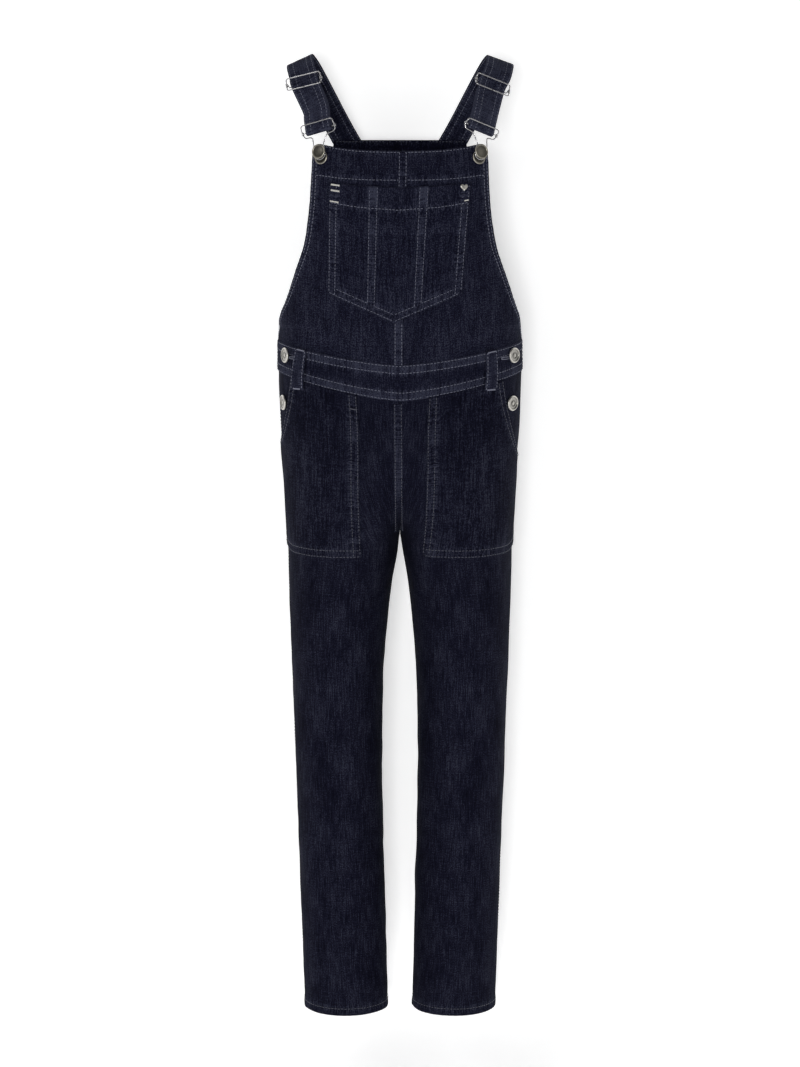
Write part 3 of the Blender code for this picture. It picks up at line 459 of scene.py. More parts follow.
def paper_material(name, colour):
    """Translucent studio sweep lit from behind: matt and even, with the faintest roller texture."""
    material, tree, shader = new_material(name)
    place = add_node(tree, "ShaderNodeTexCoord")
    noise = add_node(tree, "ShaderNodeTexNoise", {"Scale": 60.0, "Detail": 3.0},
                     {"Vector": place.outputs["Object"]})
    bump = add_node(tree, "ShaderNodeBump", {"Strength": 0.05, "Distance": 0.001},
                    {"Height": noise.outputs["Fac"]})
    set_shader(tree, shader, {"Base Color": (*colour, 1), "Roughness": 0.9, "Specular IOR Level": 0.0,
                              "Emission Color": (1, 1, 1, 1), "Emission Strength": 0.42},
               {"Normal": bump.outputs["Normal"]})
    # From behind the sweep is clear, so that the garment's back can be seen too
    side = add_node(tree, "ShaderNodeNewGeometry")
    clear = add_node(tree, "ShaderNodeBsdfTransparent")
    mixed = add_node(tree, "ShaderNodeMixShader", {}, {"Fac": side.outputs["Backfacing"]})
    tree.links.new(shader.outputs["BSDF"], mixed.inputs[1])
    tree.links.new(clear.outputs["BSDF"], mixed.inputs[2])
    output = next(node for node in tree.nodes if node.type == "OUTPUT_MATERIAL")
    tree.links.new(mixed.outputs["Shader"], output.inputs["Surface"])
    return material


def material_for(kind):
    """The material of a kind in the colours that are set, made once."""
    colours = bpy.context.scene.overalls_colours
    name = f"mat_{kind}"
    if name in bpy.data.materials:
        return bpy.data.materials[name]
    light, reverse = colours.denim_light, colours.denim_reverse
    if kind == "raw_denim":
        return denim_material(name, colours.denim_dark, light, reverse, 1.5)
    if kind == "flecked_denim":
        return denim_material(name, [c * 1.25 for c in colours.denim_dark], [c * 1.15 for c in light],
                              reverse, 2.1)
    if kind == "thread":
        return thread_material(name, colours.thread)
    if kind == "dull_thread":
        return thread_material(name, [c * 0.42 for c in colours.thread])
    if kind == "tack_thread":
        return thread_material(name, colours.tack_thread, 0.5)
    if kind == "nickel_wire":
        return metal_material(name, colours.wire, 0.16, 0.3, 1400.0)
    if kind == "antique_nickel":
        return metal_material(name, colours.cap, 0.34, 0.45, 1900.0)
    if kind == "silver_plate":
        return metal_material(name, colours.silver, 0.3, 0.18, 1600.0)
    return paper_material(name, colours.floor)


# The filled-out surface, on arrays of angles and heights


def table_value(rows, column, height):
    """A column of a table at any height, on a smooth curve through its rows."""
    heights = np.array([row.height for row in rows], float)
    values = np.array([getattr(row, column) for row in rows], float)
    height = np.clip(np.asarray(height, float), heights[-1], heights[0])
    last = len(rows) - 1
    index = np.clip(np.searchsorted(-heights, -height) - 1, 0, last - 1)
    order = np.arange(last + 1)
    before, after = np.maximum(order - 1, 0), np.minimum(order + 1, last)
    slope = (values[after] - values[before]) / (heights[after] - heights[before])
    span = heights[index + 1] - heights[index]
    t = (height - heights[index]) / span
    start, end = values[index], values[index + 1]
    rise = end - start
    a = slope[index] * span - rise
    b = rise - slope[index + 1] * span
    return start + t * rise + t * (1 - t) * (a * (1 - t) + b * t)


def signed_power(value, power):
    return np.sign(value) * np.abs(value) ** power


def blend(start, end, share):
    return start + (end - start) * share


def ease(share):
    share = np.clip(share, 0.0, 1.0)
    return share * share * (3 - 2 * share)


def unit(vectors):
    return vectors / np.maximum(np.linalg.norm(vectors, axis=-1, keepdims=True), 1e-9)


def fold_rise(folds, side, face, reach, height):
    total = 0.0 * (reach + height)
    for fold in folds:
        along_x, along_z = fold.x2 - fold.x1, fold.z2 - fold.z1
        share = ((reach - fold.x1) * along_x + (height - fold.z1) * along_z) / (along_x ** 2 + along_z ** 2)
        share = np.clip(share, 0.0, 1.0)
        distance = np.hypot(reach - fold.x1 - share * along_x, height - fold.z1 - share * along_z)
        here = np.logical_and(side == fold.side, face == fold.face)
        total = total + here * fold.rise * np.exp(-((distance / fold.width) ** 2))
    return total * ease(reach / FOLD_START)


def ring_points(side, face, angle, height):
    outer = table_value(RINGS, "outer", height)
    inner = table_value(RINGS, "inner", height)
    depth = np.where(face == FRONT, table_value(RINGS, "front", height), table_value(RINGS, "back", height))
    power = 2 / table_value(RINGS, "square", height)
    reach = (outer + inner) / 2 + (outer - inner) / 2 * signed_power(np.cos(angle), power)
    away = depth * signed_power(np.sin(angle), power)
    lift = fold_rise(FOLDS, side, face, reach, height)
    reach = reach + lift * np.cos(angle)
    away = away + lift * np.sin(angle)
    depth_place = table_value(RINGS, "back_shift", height) + face * away
    return np.stack(np.broadcast_arrays(side * reach, depth_place, height + 0.0 * reach), axis=-1)


def skin_frame(side, face, angle, height):
    """Points of the surface and their outward directions."""
    side, face = np.asarray(side), np.asarray(face)
    angle, height = np.broadcast_arrays(np.asarray(angle, float), np.asarray(height, float))
    across = ring_points(side, face, angle + 0.01, height) - ring_points(side, face, angle - 0.01, height)
    up = ring_points(side, face, angle, height + 1.0) - ring_points(side, face, angle, height - 1.0)
    outward = np.cross(across, up) * (side * face * np.ones_like(angle))[..., None]
    return ring_points(side, face, angle, height), unit(outward)


def angle_at(reach, height):
    outer, inner = table_value(RINGS, "outer", height), table_value(RINGS, "inner", height)
    square = table_value(RINGS, "square", height)
    share = np.clip((reach - (outer + inner) / 2) / ((outer - inner) / 2), -1.0, 1.0)
    return np.arccos(np.clip(signed_power(share, square / 2), -1.0, 1.0))


def gap_angle(face, height, gap=SEAM_GAP / 2):
    """The angle at a distance from the side seam or from the inner leg seam."""
    depth = table_value(RINGS, "front" if face == FRONT else "back", height)
    square = table_value(RINGS, "square", height)
    return np.arcsin(np.clip((gap / depth) ** (square / 2), 0.0, 1.0))


def end_angle(face, height):
    inner = table_value(RINGS, "inner", height)
    return np.where(inner < SEAM_GAP / 2, angle_at(SEAM_GAP / 2, height), np.pi - gap_angle(face, height))


def dip(middle_dip, angle):
    share = np.maximum(np.cos(angle), 0.0) ** (2 / BAND_SQUARE)
    return middle_dip * (1 - share ** DIP_POWER)


def row_dip(middle_dip, height, angle):
    share = (height - DIP_ENDS) / (BAND_BOTTOM - DIP_ENDS)
    return dip(middle_dip, angle) * np.clip(share, 0.0, 1.0)


# Places on each piece: u runs across from 0 to 1 and v down from 0 to 1


def leg_place(side, face, middle_dip):
    def place(u, v):
        height = blend(BAND_BOTTOM + TUCK, HEM, v)
        middle = height + row_dip(middle_dip, height, math.pi / 2)
        angle = blend(gap_angle(face, middle), end_angle(face, middle), u)
        return skin_frame(side.sign, face, angle, height + row_dip(middle_dip, height, angle))

    return place


def bib_edge_angle(face, rows, height):
    """The angle of a bib's edge, from its table down to the side seam at the waistband's top."""
    last = rows[-1].height
    edge = angle_at(table_value(rows, "reach", height), height)
    low = np.clip((height - last) / (BAND_TOP - last), 0.0, 1.0)
    return np.maximum(np.where(height < last, edge * (1 - low), edge), gap_angle(face, height))


def bib_place(side):
    def place(u, v):
        round_share = np.maximum(u - BIB_CORNER_START, 0) / (1 - BIB_CORNER_START)
        top = blend(BIB_TOP, BIB_TOP_CORNER, u * u) - BIB_CORNER_ROUND * round_share ** 2
        bottom = BAND_TOP - TUCK + dip(FRONT_TOP_DIP, blend(math.pi / 2, 0, u))
        height = blend(top, bottom, v)
        edge = bib_edge_angle(FRONT, BIB_EDGE, height)
        return skin_frame(side.sign, FRONT, blend(angle_at(SEAM_GAP / 2, height), edge, u), height)

    return place


def back_bib_place(u, v):
    sign = np.where(u >= 0.5, 1, -1)
    share = np.abs(u - 0.5) * 2
    bottom = BAND_TOP - TUCK + dip(BACK_TOP_DIP, blend(math.pi / 2, 0, share))
    height = blend(BACK_TOP, bottom, v)
    edge = bib_edge_angle(BACK, BACK_EDGE, height)
    return skin_frame(sign, BACK, blend(math.pi / 2, edge, share), height)


def waistband_place(face, top_dip, bottom_dip):
    def place(u, v):
        sign = np.where(u >= 0.5, 1, -1)
        angle = blend(math.pi / 2, gap_angle(face, np.asarray(BAND_TOP)), np.abs(u - 0.5) * 2)
        top = BAND_TOP + dip(top_dip, angle)
        bottom = BAND_BOTTOM + dip(bottom_dip, angle)
        return skin_frame(sign, face, angle, blend(top, bottom, v))

    return place


def place_at(x, height, face=FRONT):
    """A place of the front or back by its distance from the middle, the wearer's left positive."""
    sign = np.where(x >= 0, 1, -1)
    return skin_frame(sign, face, angle_at(np.abs(x), height), height)


def seat_at(x, height):
    """A point of the front and its outward direction, for a part that is set on it."""
    point, normal = place_at(x, np.asarray(height))
    return Vector(point.tolist()), Vector(normal.tolist())


POCKET_TOPS = (-BIB_POCKET_HALF_TOP, *BIB_POCKET_SEAM_TOP, BIB_POCKET_HALF_TOP)
POCKET_FEET = (-BIB_POCKET_HALF_FOOT + BIB_POCKET_LEAN, *BIB_POCKET_SEAM_FOOT,
               BIB_POCKET_HALF_FOOT + BIB_POCKET_LEAN)
POCKET_TIP_X = BIB_POCKET_LEAN - 1.0


def pocket_foot_height(x):
    corner = np.where(x < POCKET_TIP_X, POCKET_FEET[0], POCKET_FEET[3])
    return blend(BIB_POCKET_TIP, BIB_POCKET_CORNER, (x - POCKET_TIP_X) / (corner - POCKET_TIP_X))


def bib_pocket_place(start, end, start_gap=0.0, end_gap=0.0):
    """A place of the bib pocket between two of its four upright lines."""
    def place(u, v):
        top_x = blend(POCKET_TOPS[start] + start_gap, POCKET_TOPS[end] - end_gap, u)
        foot_x = blend(POCKET_FEET[start] + start_gap, POCKET_FEET[end] - end_gap, u)
        bow = 1 - (top_x / BIB_POCKET_HALF_TOP) ** 2
        top = BIB_POCKET_TOP + BIB_POCKET_TOP_DIP * bow
        return place_at(blend(top_x, foot_x, v), blend(top, pocket_foot_height(foot_x), v))

    return place


def hip_pocket_place(side):
    def place(u, v):
        height = blend(BAND_BOTTOM + TUCK, HIP_POCKET_FOOT, v)
        middle = height + row_dip(FRONT_BOTTOM_DIP, height, math.pi / 2)
        down = (middle - BAND_BOTTOM) / (HIP_POCKET_FOOT - BAND_BOTTOM)
        level = np.maximum(middle, HIP_POCKET_FOOT)
        inner = angle_at(blend(side.pocket_top_x, side.pocket_foot_x, np.clip(down, 0.0, 1.0)), level)
        mouth_share = np.clip((height - BAND_TOP) / (side.mouth_foot - BAND_TOP), 0.0, 1.0)
        mouth = angle_at(side.mouth_x, BAND_BOTTOM) * np.sqrt(1 - mouth_share ** MOUTH_CURVE)
        outer = np.maximum(gap_angle(FRONT, height), mouth)
        angle = blend(outer, inner, u)
        corner = POCKET_CORNER_RISE * np.maximum(1 - angle / POCKET_CORNER_TURN, 0) ** 1.5 - POCKET_SAG
        corner = corner * np.clip(down, 0.0, 1.1) ** 4
        return skin_frame(side.sign, FRONT, angle, height + row_dip(FRONT_BOTTOM_DIP, height, angle) + corner)

    return place


def loop_place(side):
    def place(u, v):
        angle = angle_at(side.loop_x + side.loop_lean * v + LOOP_WIDTH * (1 + 0.12 * v) * (u - 0.5),
                         BAND_TOP)
        height = blend(BAND_TOP + dip(FRONT_TOP_DIP, angle) + 0.6, LOOP_FOOT, v)
        rest = blend(BAND_PROUD, LAY_GAP + DENIM, ease(v)) + LAY_GAP
        bow = LOOP_BOW * np.sin(math.pi * np.clip(v, 0, 1)) ** 0.7
        point, outward = skin_frame(side.sign, FRONT, angle, height)
        return point + outward * (rest + bow)[..., None], outward

    return place


def stand_place(side):
    def place(u, v):
        height = blend(BAND_TOP - 2, STAND_FOOT, v)
        angle = np.radians(blend(*STAND_ANGLES, u))
        return skin_frame(side.sign, np.where(angle < 0, BACK, FRONT), np.abs(angle), height)

    return place


# Meshes of cloth


def steps(length, coarse, start=0.0, end=0.0, fine=1.25):
    """Shares from 0 to 1 along a length, closer together within some distance of either end."""
    places = [0.0]
    while places[-1] < length - fine * 0.6:
        here = places[-1]
        near = here < start or here > length - end
        places.append(here + (fine if near else coarse))
    places = np.array(places)
    return places / places[-1]


def along(points):
    """The distance run along a line of points."""
    return np.concatenate([[0.0], np.cumsum(np.linalg.norm(np.diff(points, axis=0), axis=1))])


def inset(place, edge, distance, start=0.0, end=1.0):
    """A line at a distance in from a piece's edge: start, end, top or foot."""
    count = 160
    fine = np.linspace(0, 1, 240)
    run = np.linspace(start, end, count)
    if edge in ("start", "end"):
        v, u = np.meshgrid(run, fine, indexing="ij")
    else:
        u, v = np.meshgrid(run, fine, indexing="ij")
    points, _ = place(u, v)
    lengths = np.linalg.norm(np.diff(points, axis=1), axis=2)
    gone = np.concatenate([np.zeros((count, 1)), np.cumsum(lengths, axis=1)], axis=1)
    if edge in ("end", "foot"):
        gone = gone[:, -1:] - gone
        picks = np.array([np.interp(distance, row[::-1], fine[::-1]) for row in gone])
    else:
        picks = np.array([np.interp(distance, row, fine) for row in gone])
    if edge in ("start", "end"):
        return place(picks, run)
    return place(run, picks)


def polyline(place, corners, count=160):
    """A line of stitches through places given as pairs of u and v."""
    corners = np.array(corners, float)
    run = np.linspace(0, 1, count) * (len(corners) - 1)
    marks = np.arange(len(corners))
    return even(place(np.interp(run, marks, corners[:, 0]), np.interp(run, marks, corners[:, 1])))


def interpolated(marks, gone, values):
    """Points or directions at marks along the distance gone."""
    return np.stack([np.interp(marks, gone, values[:, axis]) for axis in range(3)], axis=1)


def even(line, step=LINE_STEP):
    """The same line with its points a fixed distance apart."""
    points, normals = line
    gone = along(points)
    count = max(int(gone[-1] / step), 2)
    marks = np.linspace(0, gone[-1], count + 1)
    return interpolated(marks, gone, points), unit(interpolated(marks, gone, normals))


def rows_along(place, edges, distances, start=0.0, end=1.0):
    """Lines for rows of stitches at distances in from a piece's edges."""
    return [even(inset(place, edge, distance, start, end)) for edge in edges for distance in distances]


def ripple(points, seed, length, height):
    """A shallow uneven swell of the cloth, from a few waves in seeded directions."""
    rng = np.random.default_rng(seed)
    total = np.zeros(points.shape[:-1])
    waves = 7
    for _ in range(waves):
        direction = unit(rng.normal(size=3))
        pace = rng.uniform(0.6, 1.7) * 2 * math.pi / length
        total += np.sin(points @ direction * pace + rng.uniform(0, 2 * math.pi))
    return total * height / waves ** 0.5


def pucker(points, lines, depth, height, pace, seed):
    """How far stitched lines draw the cloth in, and each point's place along its nearest line.

    The swell between stitches fades over 5.5 mm from the line, the draw over 1.1 mm, and the
    ridges whose lit tops and shadowed dips the cloth's look paints on over 3.6 mm.
    """
    if not lines:
        return np.zeros(len(points)), np.zeros((len(points), 3))
    runs = [even(line) for line in lines]
    tree = KDTree(sum(len(run[0]) for run in runs))
    marks = []
    for number, (places, _) in enumerate(runs):
        gone = along(places)
        for index, place in enumerate(places):
            tree.insert(place, len(marks))
            marks.append((gone[index], number))
    tree.balance()
    rng = np.random.default_rng(seed)
    phase = rng.uniform(0, 2 * math.pi, len(runs))
    speed = rng.uniform(0.85, 1.15, len(runs))
    result, seam = np.zeros(len(points)), np.zeros((len(points), 3))
    for index, point in enumerate(points):
        _, nearest, distance = tree.find(point)
        if distance > PULL_REACH:
            continue
        run, number = marks[nearest]
        wave = math.sin(2 * math.pi * run / pace * speed[number] + phase[number])
        wave += 0.6 * math.sin(2 * math.pi * run / pace * 0.43 + 2.1 * phase[number])
        near = math.exp(-((distance / 5.5) ** 2))
        result[index] = height * wave * near - depth * math.exp(-((distance / 1.1) ** 2))
        seam[index] = (run * MM, distance * MM, math.exp(-((distance / 3.6) ** 2)))
    return result, seam


def join_part(piece, nodes=()):
    """Puts a piece in the scene, riding on the part, for the solids that it replaces."""
    bpy.context.scene.collection.objects.link(piece)
    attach(piece, BODY)
    if nodes:
        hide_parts(*nodes)
    return piece


def make_object(name, vertices, faces, material, nodes=(), attributes=()):
    """A smooth mesh piece from arrays in millimetres."""
    mesh = bpy.data.meshes.new(name)
    mesh.from_pydata((np.asarray(vertices) * MM).tolist(), [], [list(map(int, face)) for face in faces])
    for label, kind, values in attributes:
        layer = mesh.attributes.new(label, kind, "POINT")
        field = "vector" if kind == "FLOAT_VECTOR" else "value"
        layer.data.foreach_set(field, np.asarray(values, float).ravel())
    mesh.validate()
    mesh.update()
    mesh.shade_smooth()
    mesh.materials.append(material)
    return join_part(bpy.data.objects.new(name, mesh), nodes)


def loft_faces(levels, count):
    """The two end faces of a stack of rings, then the faces between them."""
    faces = [list(reversed(range(count))), [(levels - 1) * count + index for index in range(count)]]
    for level in range(levels - 1):
        for index in range(count):
            after = (index + 1) % count
            low, high = level * count, (level + 1) * count
            faces.append([low + index, low + after, high + after, high + index])
    return faces


def cloth_piece(name, place, columns, rows, material, held, rests_on, folded_from=None,
                thickness=DENIM, lift=0.0, lines=(), relief=None, creases=None, facing=None, seed=0,
                draw=0.28, swell=0.16, pace=7.5, turn_edge=0.3, shade=0.0, inside_shade=0.0, grain=0.5):
    """A shell of cloth over a grid of places, with rounded edges, creases and puckered stitching.

    It stands for the solid that its name gives after "cloth_". A strip over a seam has none.
    lift is its outer face's distance from the surface, and relief gives more of it for each place.
    facing says how far down its inside shows the cloth's right side, and grain how far across it
    the warp runs straight down. draw, swell and pace say how its stitched lines pucker it.
    """
    u, v = np.meshgrid(columns, rows)
    base, normal = place(u, v)
    shape = u.shape
    flat = base.reshape(-1, 3)
    rise, seam = pucker(flat, lines, draw, swell, pace, seed)
    rise = rise + ripple(flat, seed, 46.0, 0.32)
    if creases is not None:
        side, face = creases
        sides = np.where(flat[:, 0] >= 0, 1, -1) if side is None else side
        rise = rise + fold_rise(CREASES, sides, face, np.abs(flat[:, 0]), flat[:, 2])
    rise = rise.reshape(shape)
    if relief is not None:
        rise = rise + relief(u, v, base)
    outer = base + normal * (lift + rise)[..., None]
    # The inside follows the swells only a little way out
    inner = base + normal * (lift - thickness + np.minimum(rise, 0.25))[..., None]
    middle = (outer + inner) / 2

    def pull_in(grid):
        """Draws the edges in a little, so that the rim turns over."""
        moved = grid.copy()
        moved[0] += unit(grid[1] - grid[0]) * turn_edge
        moved[-1] += unit(grid[-2] - grid[-1]) * turn_edge
        moved[:, 0] += unit(grid[:, 1] - grid[:, 0]) * turn_edge
        moved[:, -1] += unit(grid[:, -2] - grid[:, -1]) * turn_edge
        return moved

    count_down, count_across = shape
    layer = count_down * count_across
    index = np.arange(layer).reshape(shape)
    a, b = index[:-1, :-1].ravel(), index[:-1, 1:].ravel()
    c, d = index[1:, 1:].ravel(), index[1:, :-1].ravel()
    front = np.stack([a, b, c, d], axis=1)
    back = np.stack([d, c, b, a], axis=1) + layer
    rim = np.concatenate([index[0, :], index[1:, -1], index[-1, -2::-1], index[-2:0:-1, 0]])
    after = np.roll(rim, -1)
    edge = 2 * layer + np.arange(len(rim))
    edge_after = np.roll(edge, -1)
    over = np.stack([after, rim, edge, edge_after], axis=1)
    under = np.stack([edge_after, edge, rim + layer, after + layer], axis=1)
    faces = np.concatenate([front, back, over, under])
    vertices = np.concatenate([pull_in(outer).reshape(-1, 3), pull_in(inner).reshape(-1, 3),
                               middle.reshape(-1, 3)[rim]])
    if np.cross(base[0, 1] - base[0, 0], base[1, 0] - base[0, 0]) @ normal[0, 0] >= 0:
        faces = faces[:, ::-1]

    centre = round((count_across - 1) * grain)
    steps_across = np.linalg.norm(np.diff(base, axis=1), axis=2)
    across = np.concatenate([np.zeros((count_down, 1)), np.cumsum(steps_across, axis=1)], axis=1)
    width = across[:, -1].max()
    across = across - across[:, centre:centre + 1]
    down = along(base[:, centre])[:, None] + 0 * across
    length = np.linalg.norm(np.diff(base, axis=0), axis=2).sum(axis=0).max()
    coordinates = np.stack([across, down, 0 * down + seed * 37.0], axis=2).reshape(-1, 3) * MM
    coordinates = np.concatenate([coordinates, coordinates, coordinates[rim]])
    inside = np.ones(shape) if facing is None else np.clip((v - facing) / 0.02, 0, 1) * np.ones(shape)
    reverse = np.concatenate([np.zeros(layer), inside.ravel(), np.zeros(len(rim))])
    # Painted light: lighter bands over raised seams and folds as painted highlight, the inside face darker as
    # painted shadow where a piece asks for it, and the rim lighter as a painted highlight on the cut edge
    painted_light_share = (shade(u, v, base) if callable(shade) else shade + 0 * u).ravel()
    painted_light_share = np.concatenate([painted_light_share, np.full(layer, inside_shade), 0.5 + painted_light_share[rim]])
    seam = np.concatenate([seam, seam, seam[rim]])
    nodes = [name.removeprefix("cloth_")] if name.startswith("cloth_") else []
    piece = make_object(name, vertices, faces, material, nodes,
                        [("cloth", "FLOAT_VECTOR", coordinates), ("reverse", "FLOAT", reverse),
                         ("wear", "FLOAT", painted_light_share), ("seam", "FLOAT_VECTOR", seam)])
    quads = np.cross(base[1:, 1:] - base[:-1, :-1], base[1:, :-1] - base[:-1, 1:])
    area = np.linalg.norm(quads, axis=2).sum() / 2
    area = min(area, width * length) * MM * MM
    declare(folded_from or width * MM, length * MM, held, rests_on)


def declare(width, length, held, rests_on):
    """Rounds a cloth piece's cut width and length in metres and lists what it rests on, but keeps neither;
    held is not used.
    """
    width, length = round(width, 3), round(length, 3)
    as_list(rests_on)


def felled_seam(name, place, width, length, denim, rests_on, row=1.2, lift=0.0, **look):
    """A narrow folded strip over a join, and its two rows of stitches."""
    rows = rows_along(place, ("start", "end"), (row,))
    height = bpy.context.scene.overalls_sizes.seam_height
    look = {"thickness": height + 0.2, "draw": 0.25, "swell": 0.2, "pace": 5.5, **look}
    cloth_piece(name, place, steps(width, 1.2), steps(length, 1.6), denim, "folded", rests_on, FOLDED_WIDTH,
                lift=lift + height, lines=rows, **look)
    return rows


def raised(line, lift):
    """A line moved out from its surface."""
    points, normals = line
    return points + normals * lift, normals


# Thread


def beads(starts, ends, normals, radius, sides=5):
    """Short rounded stitches between pairs of points, half sunk at their ends."""
    starts, ends, normals = (np.asarray(part, float) for part in (starts, ends, normals))
    ahead = unit(ends - starts)
    across = unit(np.cross(normals, ahead))
    up = np.cross(ahead, across)
    shares = np.array([0.0, 0.22, 0.78, 1.0])
    sizes = np.array([0.45, 1.0, 1.0, 0.45]) * radius
    lifts = np.array([-0.5, 0.55, 0.55, -0.5]) * radius
    turns = np.arange(sides) * 2 * math.pi / sides
    vertices = []
    for share, size, lift in zip(shares, sizes, lifts):
        centre = starts + (ends - starts) * share + up * lift
        for turn in turns:
            vertices.append(centre + across * math.cos(turn) * size + up * math.sin(turn) * size)
    vertices = np.stack(vertices, axis=1)
    faces = loft_faces(len(shares), sides)
    offset = np.arange(len(starts))[:, None, None] * vertices.shape[1]
    return (vertices.reshape(-1, 3), (np.array(faces[2:])[None] + offset).reshape(-1, 4),
            (np.array(faces[:2])[None] + offset).reshape(-1, sides))


def stitched(lines, seed, lift=0.0, slim=1.0):
    """Stitches along lines, each a little off its neighbours as a real machine leaves them."""
    rng = np.random.default_rng(seed)
    sizes = bpy.context.scene.overalls_sizes
    length, gap, radius = sizes.stitch_length, sizes.stitch_gap, sizes.thread_width / 2 * slim
    starts, ends, normals = [], [], []
    for points, turned in lines:
        points = points + turned * lift
        gone = along(points)
        marks = np.arange(rng.uniform(0, gap), gone[-1] - length, length + gap)
        if not len(marks):
            continue
        begin, finish = interpolated(marks, gone, points), interpolated(marks + length, gone, points)
        normal = unit(interpolated(marks + length / 2, gone, turned))
        across = unit(np.cross(normal, finish - begin))
        jitter = rng.normal(0, 0.09, (len(marks), 2))
        starts.append(begin + across * jitter[:, :1])
        ends.append(finish + across * jitter[:, 1:])
        normals.append(normal)
    return beads(np.concatenate(starts), np.concatenate(ends), np.concatenate(normals), radius)


def bar_tack(centre, normal, ahead, length, width, radius):
    """A bar of close zigzag stitches."""
    across = unit(np.cross(normal, ahead))
    count = int(length / (radius * 1.7))
    marks = np.linspace(-length / 2, length / 2, count)
    sway = np.where(np.arange(count) % 2 == 0, 0.25, -0.25)
    starts = centre + ahead * (marks - sway)[:, None] - across * width / 2
    ends = centre + ahead * (marks + sway)[:, None] + across * width / 2
    return beads(starts, ends, np.repeat(normal[None], count, axis=0), radius)


def buttonhole(centre, normal, ahead, length, width, radius):
    """Close stitches all round a slit."""
    across = unit(np.cross(normal, ahead))
    count = int((2 * length + math.pi * width) / (radius * 1.9))
    starts, ends = [], []
    for turn in np.linspace(0, 2 * math.pi, count, endpoint=False):
        reach = np.array([math.cos(turn), math.sin(turn)])
        spine = ahead * (length / 2 - width / 2) * np.clip(reach[0] * 1.6, -1, 1)
        way = ahead * reach[0] + across * reach[1]
        starts.append(centre + spine + way * width * 0.16)
        ends.append(centre + spine + way * width * 0.5)
    return beads(np.array(starts), np.array(ends), np.repeat(normal[None], count, axis=0), radius)


def thread_piece(name, parts, material):
    """All the stitches of a group as one piece."""
    vertices, quads, caps, offset = [], [], [], 0
    for points, sides, ends in parts:
        vertices.append(points)
        quads += (sides + offset).tolist()
        caps += (ends + offset).tolist()
        offset += len(points)
    make_object(name, np.concatenate(vertices), quads + caps, material)


def tack_at(place, u, v, lift, length, width, radius):
    """A bar tack across a piece."""
    u, v = np.array([float(u)]), np.array([float(v)])
    points, normals = place(u, v)
    other, _ = place(u + 0.004, v)
    ahead = unit(other[0] - points[0])
    return bar_tack(points[0] + normals[0] * lift, normals[0], ahead, length, width, radius)


# Settings


def size_property(name, default, low, high, description):
    return FloatProperty(name=name, default=default, min=low, max=high, description=description)


def colour_property(name, code, description):
    return FloatVectorProperty(name=name, subtype="COLOR", size=3, default=linear(code),
                               description=description)


class OverallsSizes(bpy.types.PropertyGroup):
    """Sizes of the sewing, in millimetres."""
    stitch_length: size_property("Stitch length", 2.6, 1.5, 5.0, "Length of one top stitch, in mm")
    stitch_gap: size_property("Stitch gap", 1.1, 0.2, 2.0, "Gap between one stitch and the next, in mm")
    thread_width: size_property("Thread width", 0.56, 0.3, 1.0, "Width of the top stitching thread, in mm")
    seam_height: size_property("Seam height", 0.7, 0.2, 1.5, "How far a felled seam stands off, in mm")


class OverallsColours(bpy.types.PropertyGroup):
    """Colours of the cloth, thread and metal."""
    denim_dark: colour_property("Denim", "0f101f", "The indigo of the cloth's right side")
    denim_light: colour_property("Denim fleck", "313341", "The flecks where the weft shows")
    denim_reverse: colour_property("Denim reverse", "7a8494", "The cloth's wrong side")
    thread: colour_property("Thread", "7c7f93", "The top stitching thread")
    tack_thread: colour_property("Bar tack thread", "f2f0ea", "The thread of the pocket's tacks")
    wire: colour_property("Wire", "bebdbf", "The nickel plate of sliders and clips")
    cap: colour_property("Bib buttons", "b3aea2", "The antique nickel of the bib buttons")
    silver: colour_property("Side buttons", "d2cfc8", "The silver plate of the side buttons and the stud")
    floor: colour_property("Floor", "f4f4f4", "The studio's floor and wall")


# Cloth operators


class OVERALLS_OT_legs(bpy.types.Operator):
    """Make the four leg panels with their hems and the seam down the front and back."""
    bl_idname = "overalls.legs"
    bl_label = "Legs"

    def execute(self, context):
        denim, thread = material_for("raw_denim"), material_for("dull_thread")
        length = BAND_BOTTOM - HEM
        columns, rows = steps(172.0, 2.8, 9.0, 9.0, 1.3), steps(length, 2.6, 12.0, 26.0, 1.6)
        hem_start = 1 - HEM_ROW / length

        def hem_roll(u, v, base):
            roll = ease((v - hem_start) / (1 - hem_start) * 3)
            return HEM_RISE * roll + 0.16 * roll * np.sin(base[..., 0] * 0.9 + base[..., 1] * 0.6)

        seams = []
        for face, middle_dip, word in ((FRONT, FRONT_BOTTOM_DIP, "front"), (BACK, BACK_BOTTOM_DIP, "back")):
            for number, side in enumerate(SIDES):
                place = leg_place(side, face, middle_dip)
                hem = polyline(place, [(0.004, hem_start), (0.996, hem_start)], 240)
                cloth_piece(f"cloth_{word}_leg_{side.name}", place, columns, rows, denim, "hung",
                            [f"waistband_{word}"], lines=[hem], relief=hem_roll, creases=(side.sign, face),
                            seed=3 + number + 2 * (face == BACK), swell=0.22, pace=9.0)
                seams.append(raised(hem, HEM_RISE))
                if face == BACK:
                    seams += [raised(row, 0.05) for row in rows_along(place, ("start",), (3.2,), 0.02, 0.985)]
        parts = [stitched(seams, 11)]
        # The felled seams down the middle, from x at the top and foot and from their heights
        for face, word, top_x, foot_x, top, foot in ((FRONT, "front", -7.0, -6.0, -357.0, -503.0),
                                                     (BACK, "back", -6.0, -5.0, -334.0, -505.0)):
            def seam_place(u, v):
                height = blend(top, foot, v)
                x = blend(top_x, foot_x, v) + SEAM_WIDTH * u
                return place_at(x, height, face)

            rows = felled_seam(f"seam_{word}_legs", seam_place, SEAM_WIDTH, top - foot, denim,
                               [f"{word}_leg_left", f"{word}_leg_right"], 1.3, seed=21, shade=0.1)
            parts.append(stitched(rows, 23, context.scene.overalls_sizes.seam_height))
        thread_piece("thread_legs", parts, thread)
        return {"FINISHED"}


